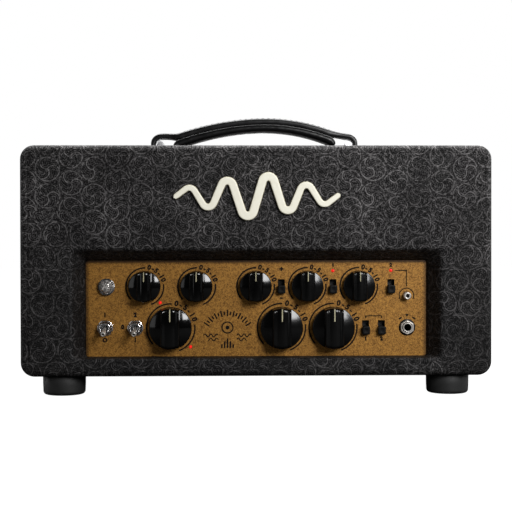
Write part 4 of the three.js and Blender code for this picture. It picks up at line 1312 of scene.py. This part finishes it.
for names, material, rounding in (
    ("faceplate", panel_paint, 0),
    ("chassis", plated_steel, 0.4),
    ("back_panel", vinyl, 1.2),
    ("rear_grille", black_steel, 0.2),
    ("handle_bracket_left handle_bracket_right", bracket_chrome, 0.4),
    ("power_switch_body standby_switch_body", chrome, 0.3),
    ("pilot_bezel", chrome, 0.4),
    ("pilot_jewel", jewel_lens, 0),
    ("input_jack", switch_black, 0.3),
    ("control_board", control_green, 0),
    ("main_board", circuit_green, 0),
    ("rear_jack_board", socket_black, 0.3),
    ("mains_inlet fuse_holder", socket_black, 0.4),
    ("power_transformer output_transformer choke", lacquer_black, 0.8),
    ("reverb_tank", zinc, 0.4),
    ("reverb_spring_unit", zinc, 0.3),
):
    for node in names.split():
        refinish(node, material, rounding)
for node in nodes:
    if node.startswith("led_"):
        refinish(node, red_lamp, 0.2)
    elif "_valve_" in node:
        refinish(node, bulb_glass, 0.8, 3)

# ---- Camera, light and floor ----

CAMERA_DISTANCE = 1150
CAMERA_HEIGHT = 152.8
CAMERA_ASIDE = -28
AIM_ASIDE = -1.1  # where across the front the middle of the picture is
CAMERA_ROLL = math.radians(0.09)
VIEW_HALF = 256  # half the width seen at the cabinet's front
WHITE = (1.0, 1.0, 1.0, 1.0)
LOOK_DOWN = math.atan2(12, CAMERA_DISTANCE)  # the picture's middle meets the front 12 below the camera


def make_camera():
    data = bpy.data.cameras.new("camera")
    data.angle = 2 * math.atan2(VIEW_HALF, CAMERA_DISTANCE)
    camera = bpy.data.objects.new("camera", data)
    camera.location = mm(CAMERA_ASIDE, FRONT - CAMERA_DISTANCE, CAMERA_HEIGHT)
    turn = math.atan2(CAMERA_ASIDE - AIM_ASIDE, CAMERA_DISTANCE)
    aim = Matrix.Rotation(turn, 3, "Z") @ Matrix.Rotation(math.pi / 2 - LOOK_DOWN, 3, "X")
    camera.rotation_euler = (aim @ Matrix.Rotation(-CAMERA_ROLL, 3, "Z")).to_euler()
    bpy.context.scene.collection.objects.link(camera)
    bpy.context.scene.camera = camera


def softbox(name, place, target, size, power):
    """A rectangular white light of some watts at a place, facing a target, its lengths in metres."""
    data = bpy.data.lights.new(name, "AREA")
    data.shape = "RECTANGLE"
    data.size, data.size_y = size
    data.energy = power
    light = bpy.data.objects.new(name, data)
    light.location = place
    light.rotation_euler = (Vector(target) - Vector(place)).to_track_quat("-Z", "Y").to_euler()
    bpy.context.scene.collection.objects.link(light)


def seen_white(tree, strength):
    """A strength that is 1 where the camera looks straight at the surface, so that a pale floor and sky are
    white in the picture without flooding the object with their light."""
    path = tree.nodes.new("ShaderNodeLightPath")
    return Field(tree, path.outputs["Is Camera Ray"]) * (1.0 - strength) + strength


def make_floor():
    """A wide pale floor."""
    places = np.linspace(-6000, 6000, 5)
    points = [(x, y, 0) for x in places for y in places]
    floor = bpy.data.objects.new("floor", mesh_of(points, grid_faces(5, 5)))
    bpy.context.scene.collection.objects.link(floor)
    surface = Surface("floor_white", Roughness=0.9, Specular_IOR_Level=0.1)
    material = surface.finished(surface.blend(surface.noise(400.0), grey(0.03), grey(0.04)))
    surface.shader.inputs["Emission Color"].default_value = WHITE
    plug(surface.tree, surface.shader.inputs["Emission Strength"], seen_white(surface.tree, 0.0))
    floor.data.materials.append(material)


def make_world(strength):
    world = bpy.data.worlds.new("studio")
    world.use_nodes = True
    background = world.node_tree.nodes["Background"]
    background.inputs["Color"].default_value = WHITE
    plug(world.node_tree, background.inputs["Strength"], seen_white(world.node_tree, strength))
    bpy.context.scene.world = world


make_camera()
make_floor()
make_world(strength=0.035)
for light in (
    ("key", (0.49, -1.07, 0.545), (0, -0.1, 0.13), (0.36, 0.44), 10.5),
    ("overhead", (0.1, 0.45, 1.7), (0, 0.0, 0.1), (2.2, 1.0), 95),
    ("right_fill", (1.2, -0.9, 0.6), (0.1, -0.1, 0.13), (0.5, 0.5), 3),
    ("left_panel", (-0.85, -1.05, 0.5), (0, -0.1, 0.1), (0.3, 1.0), 1.0),
    # The rest stand behind the front's plane, and light only the sides and the back.
    ("left_side", (-1.7, 0.35, 0.55), (-0.2, 0, 0.13), (1.0, 0.8), 9),
    ("right_side", (1.7, 0.35, 0.55), (0.2, 0, 0.13), (1.0, 0.8), 9),
    ("rear_panel", (0.5, 1.5, 0.5), (0, 0.1, 0.12), (1.4, 0.7), 14),
):
    softbox(*light)
bpy.context.scene.view_settings.view_transform = "Standard"
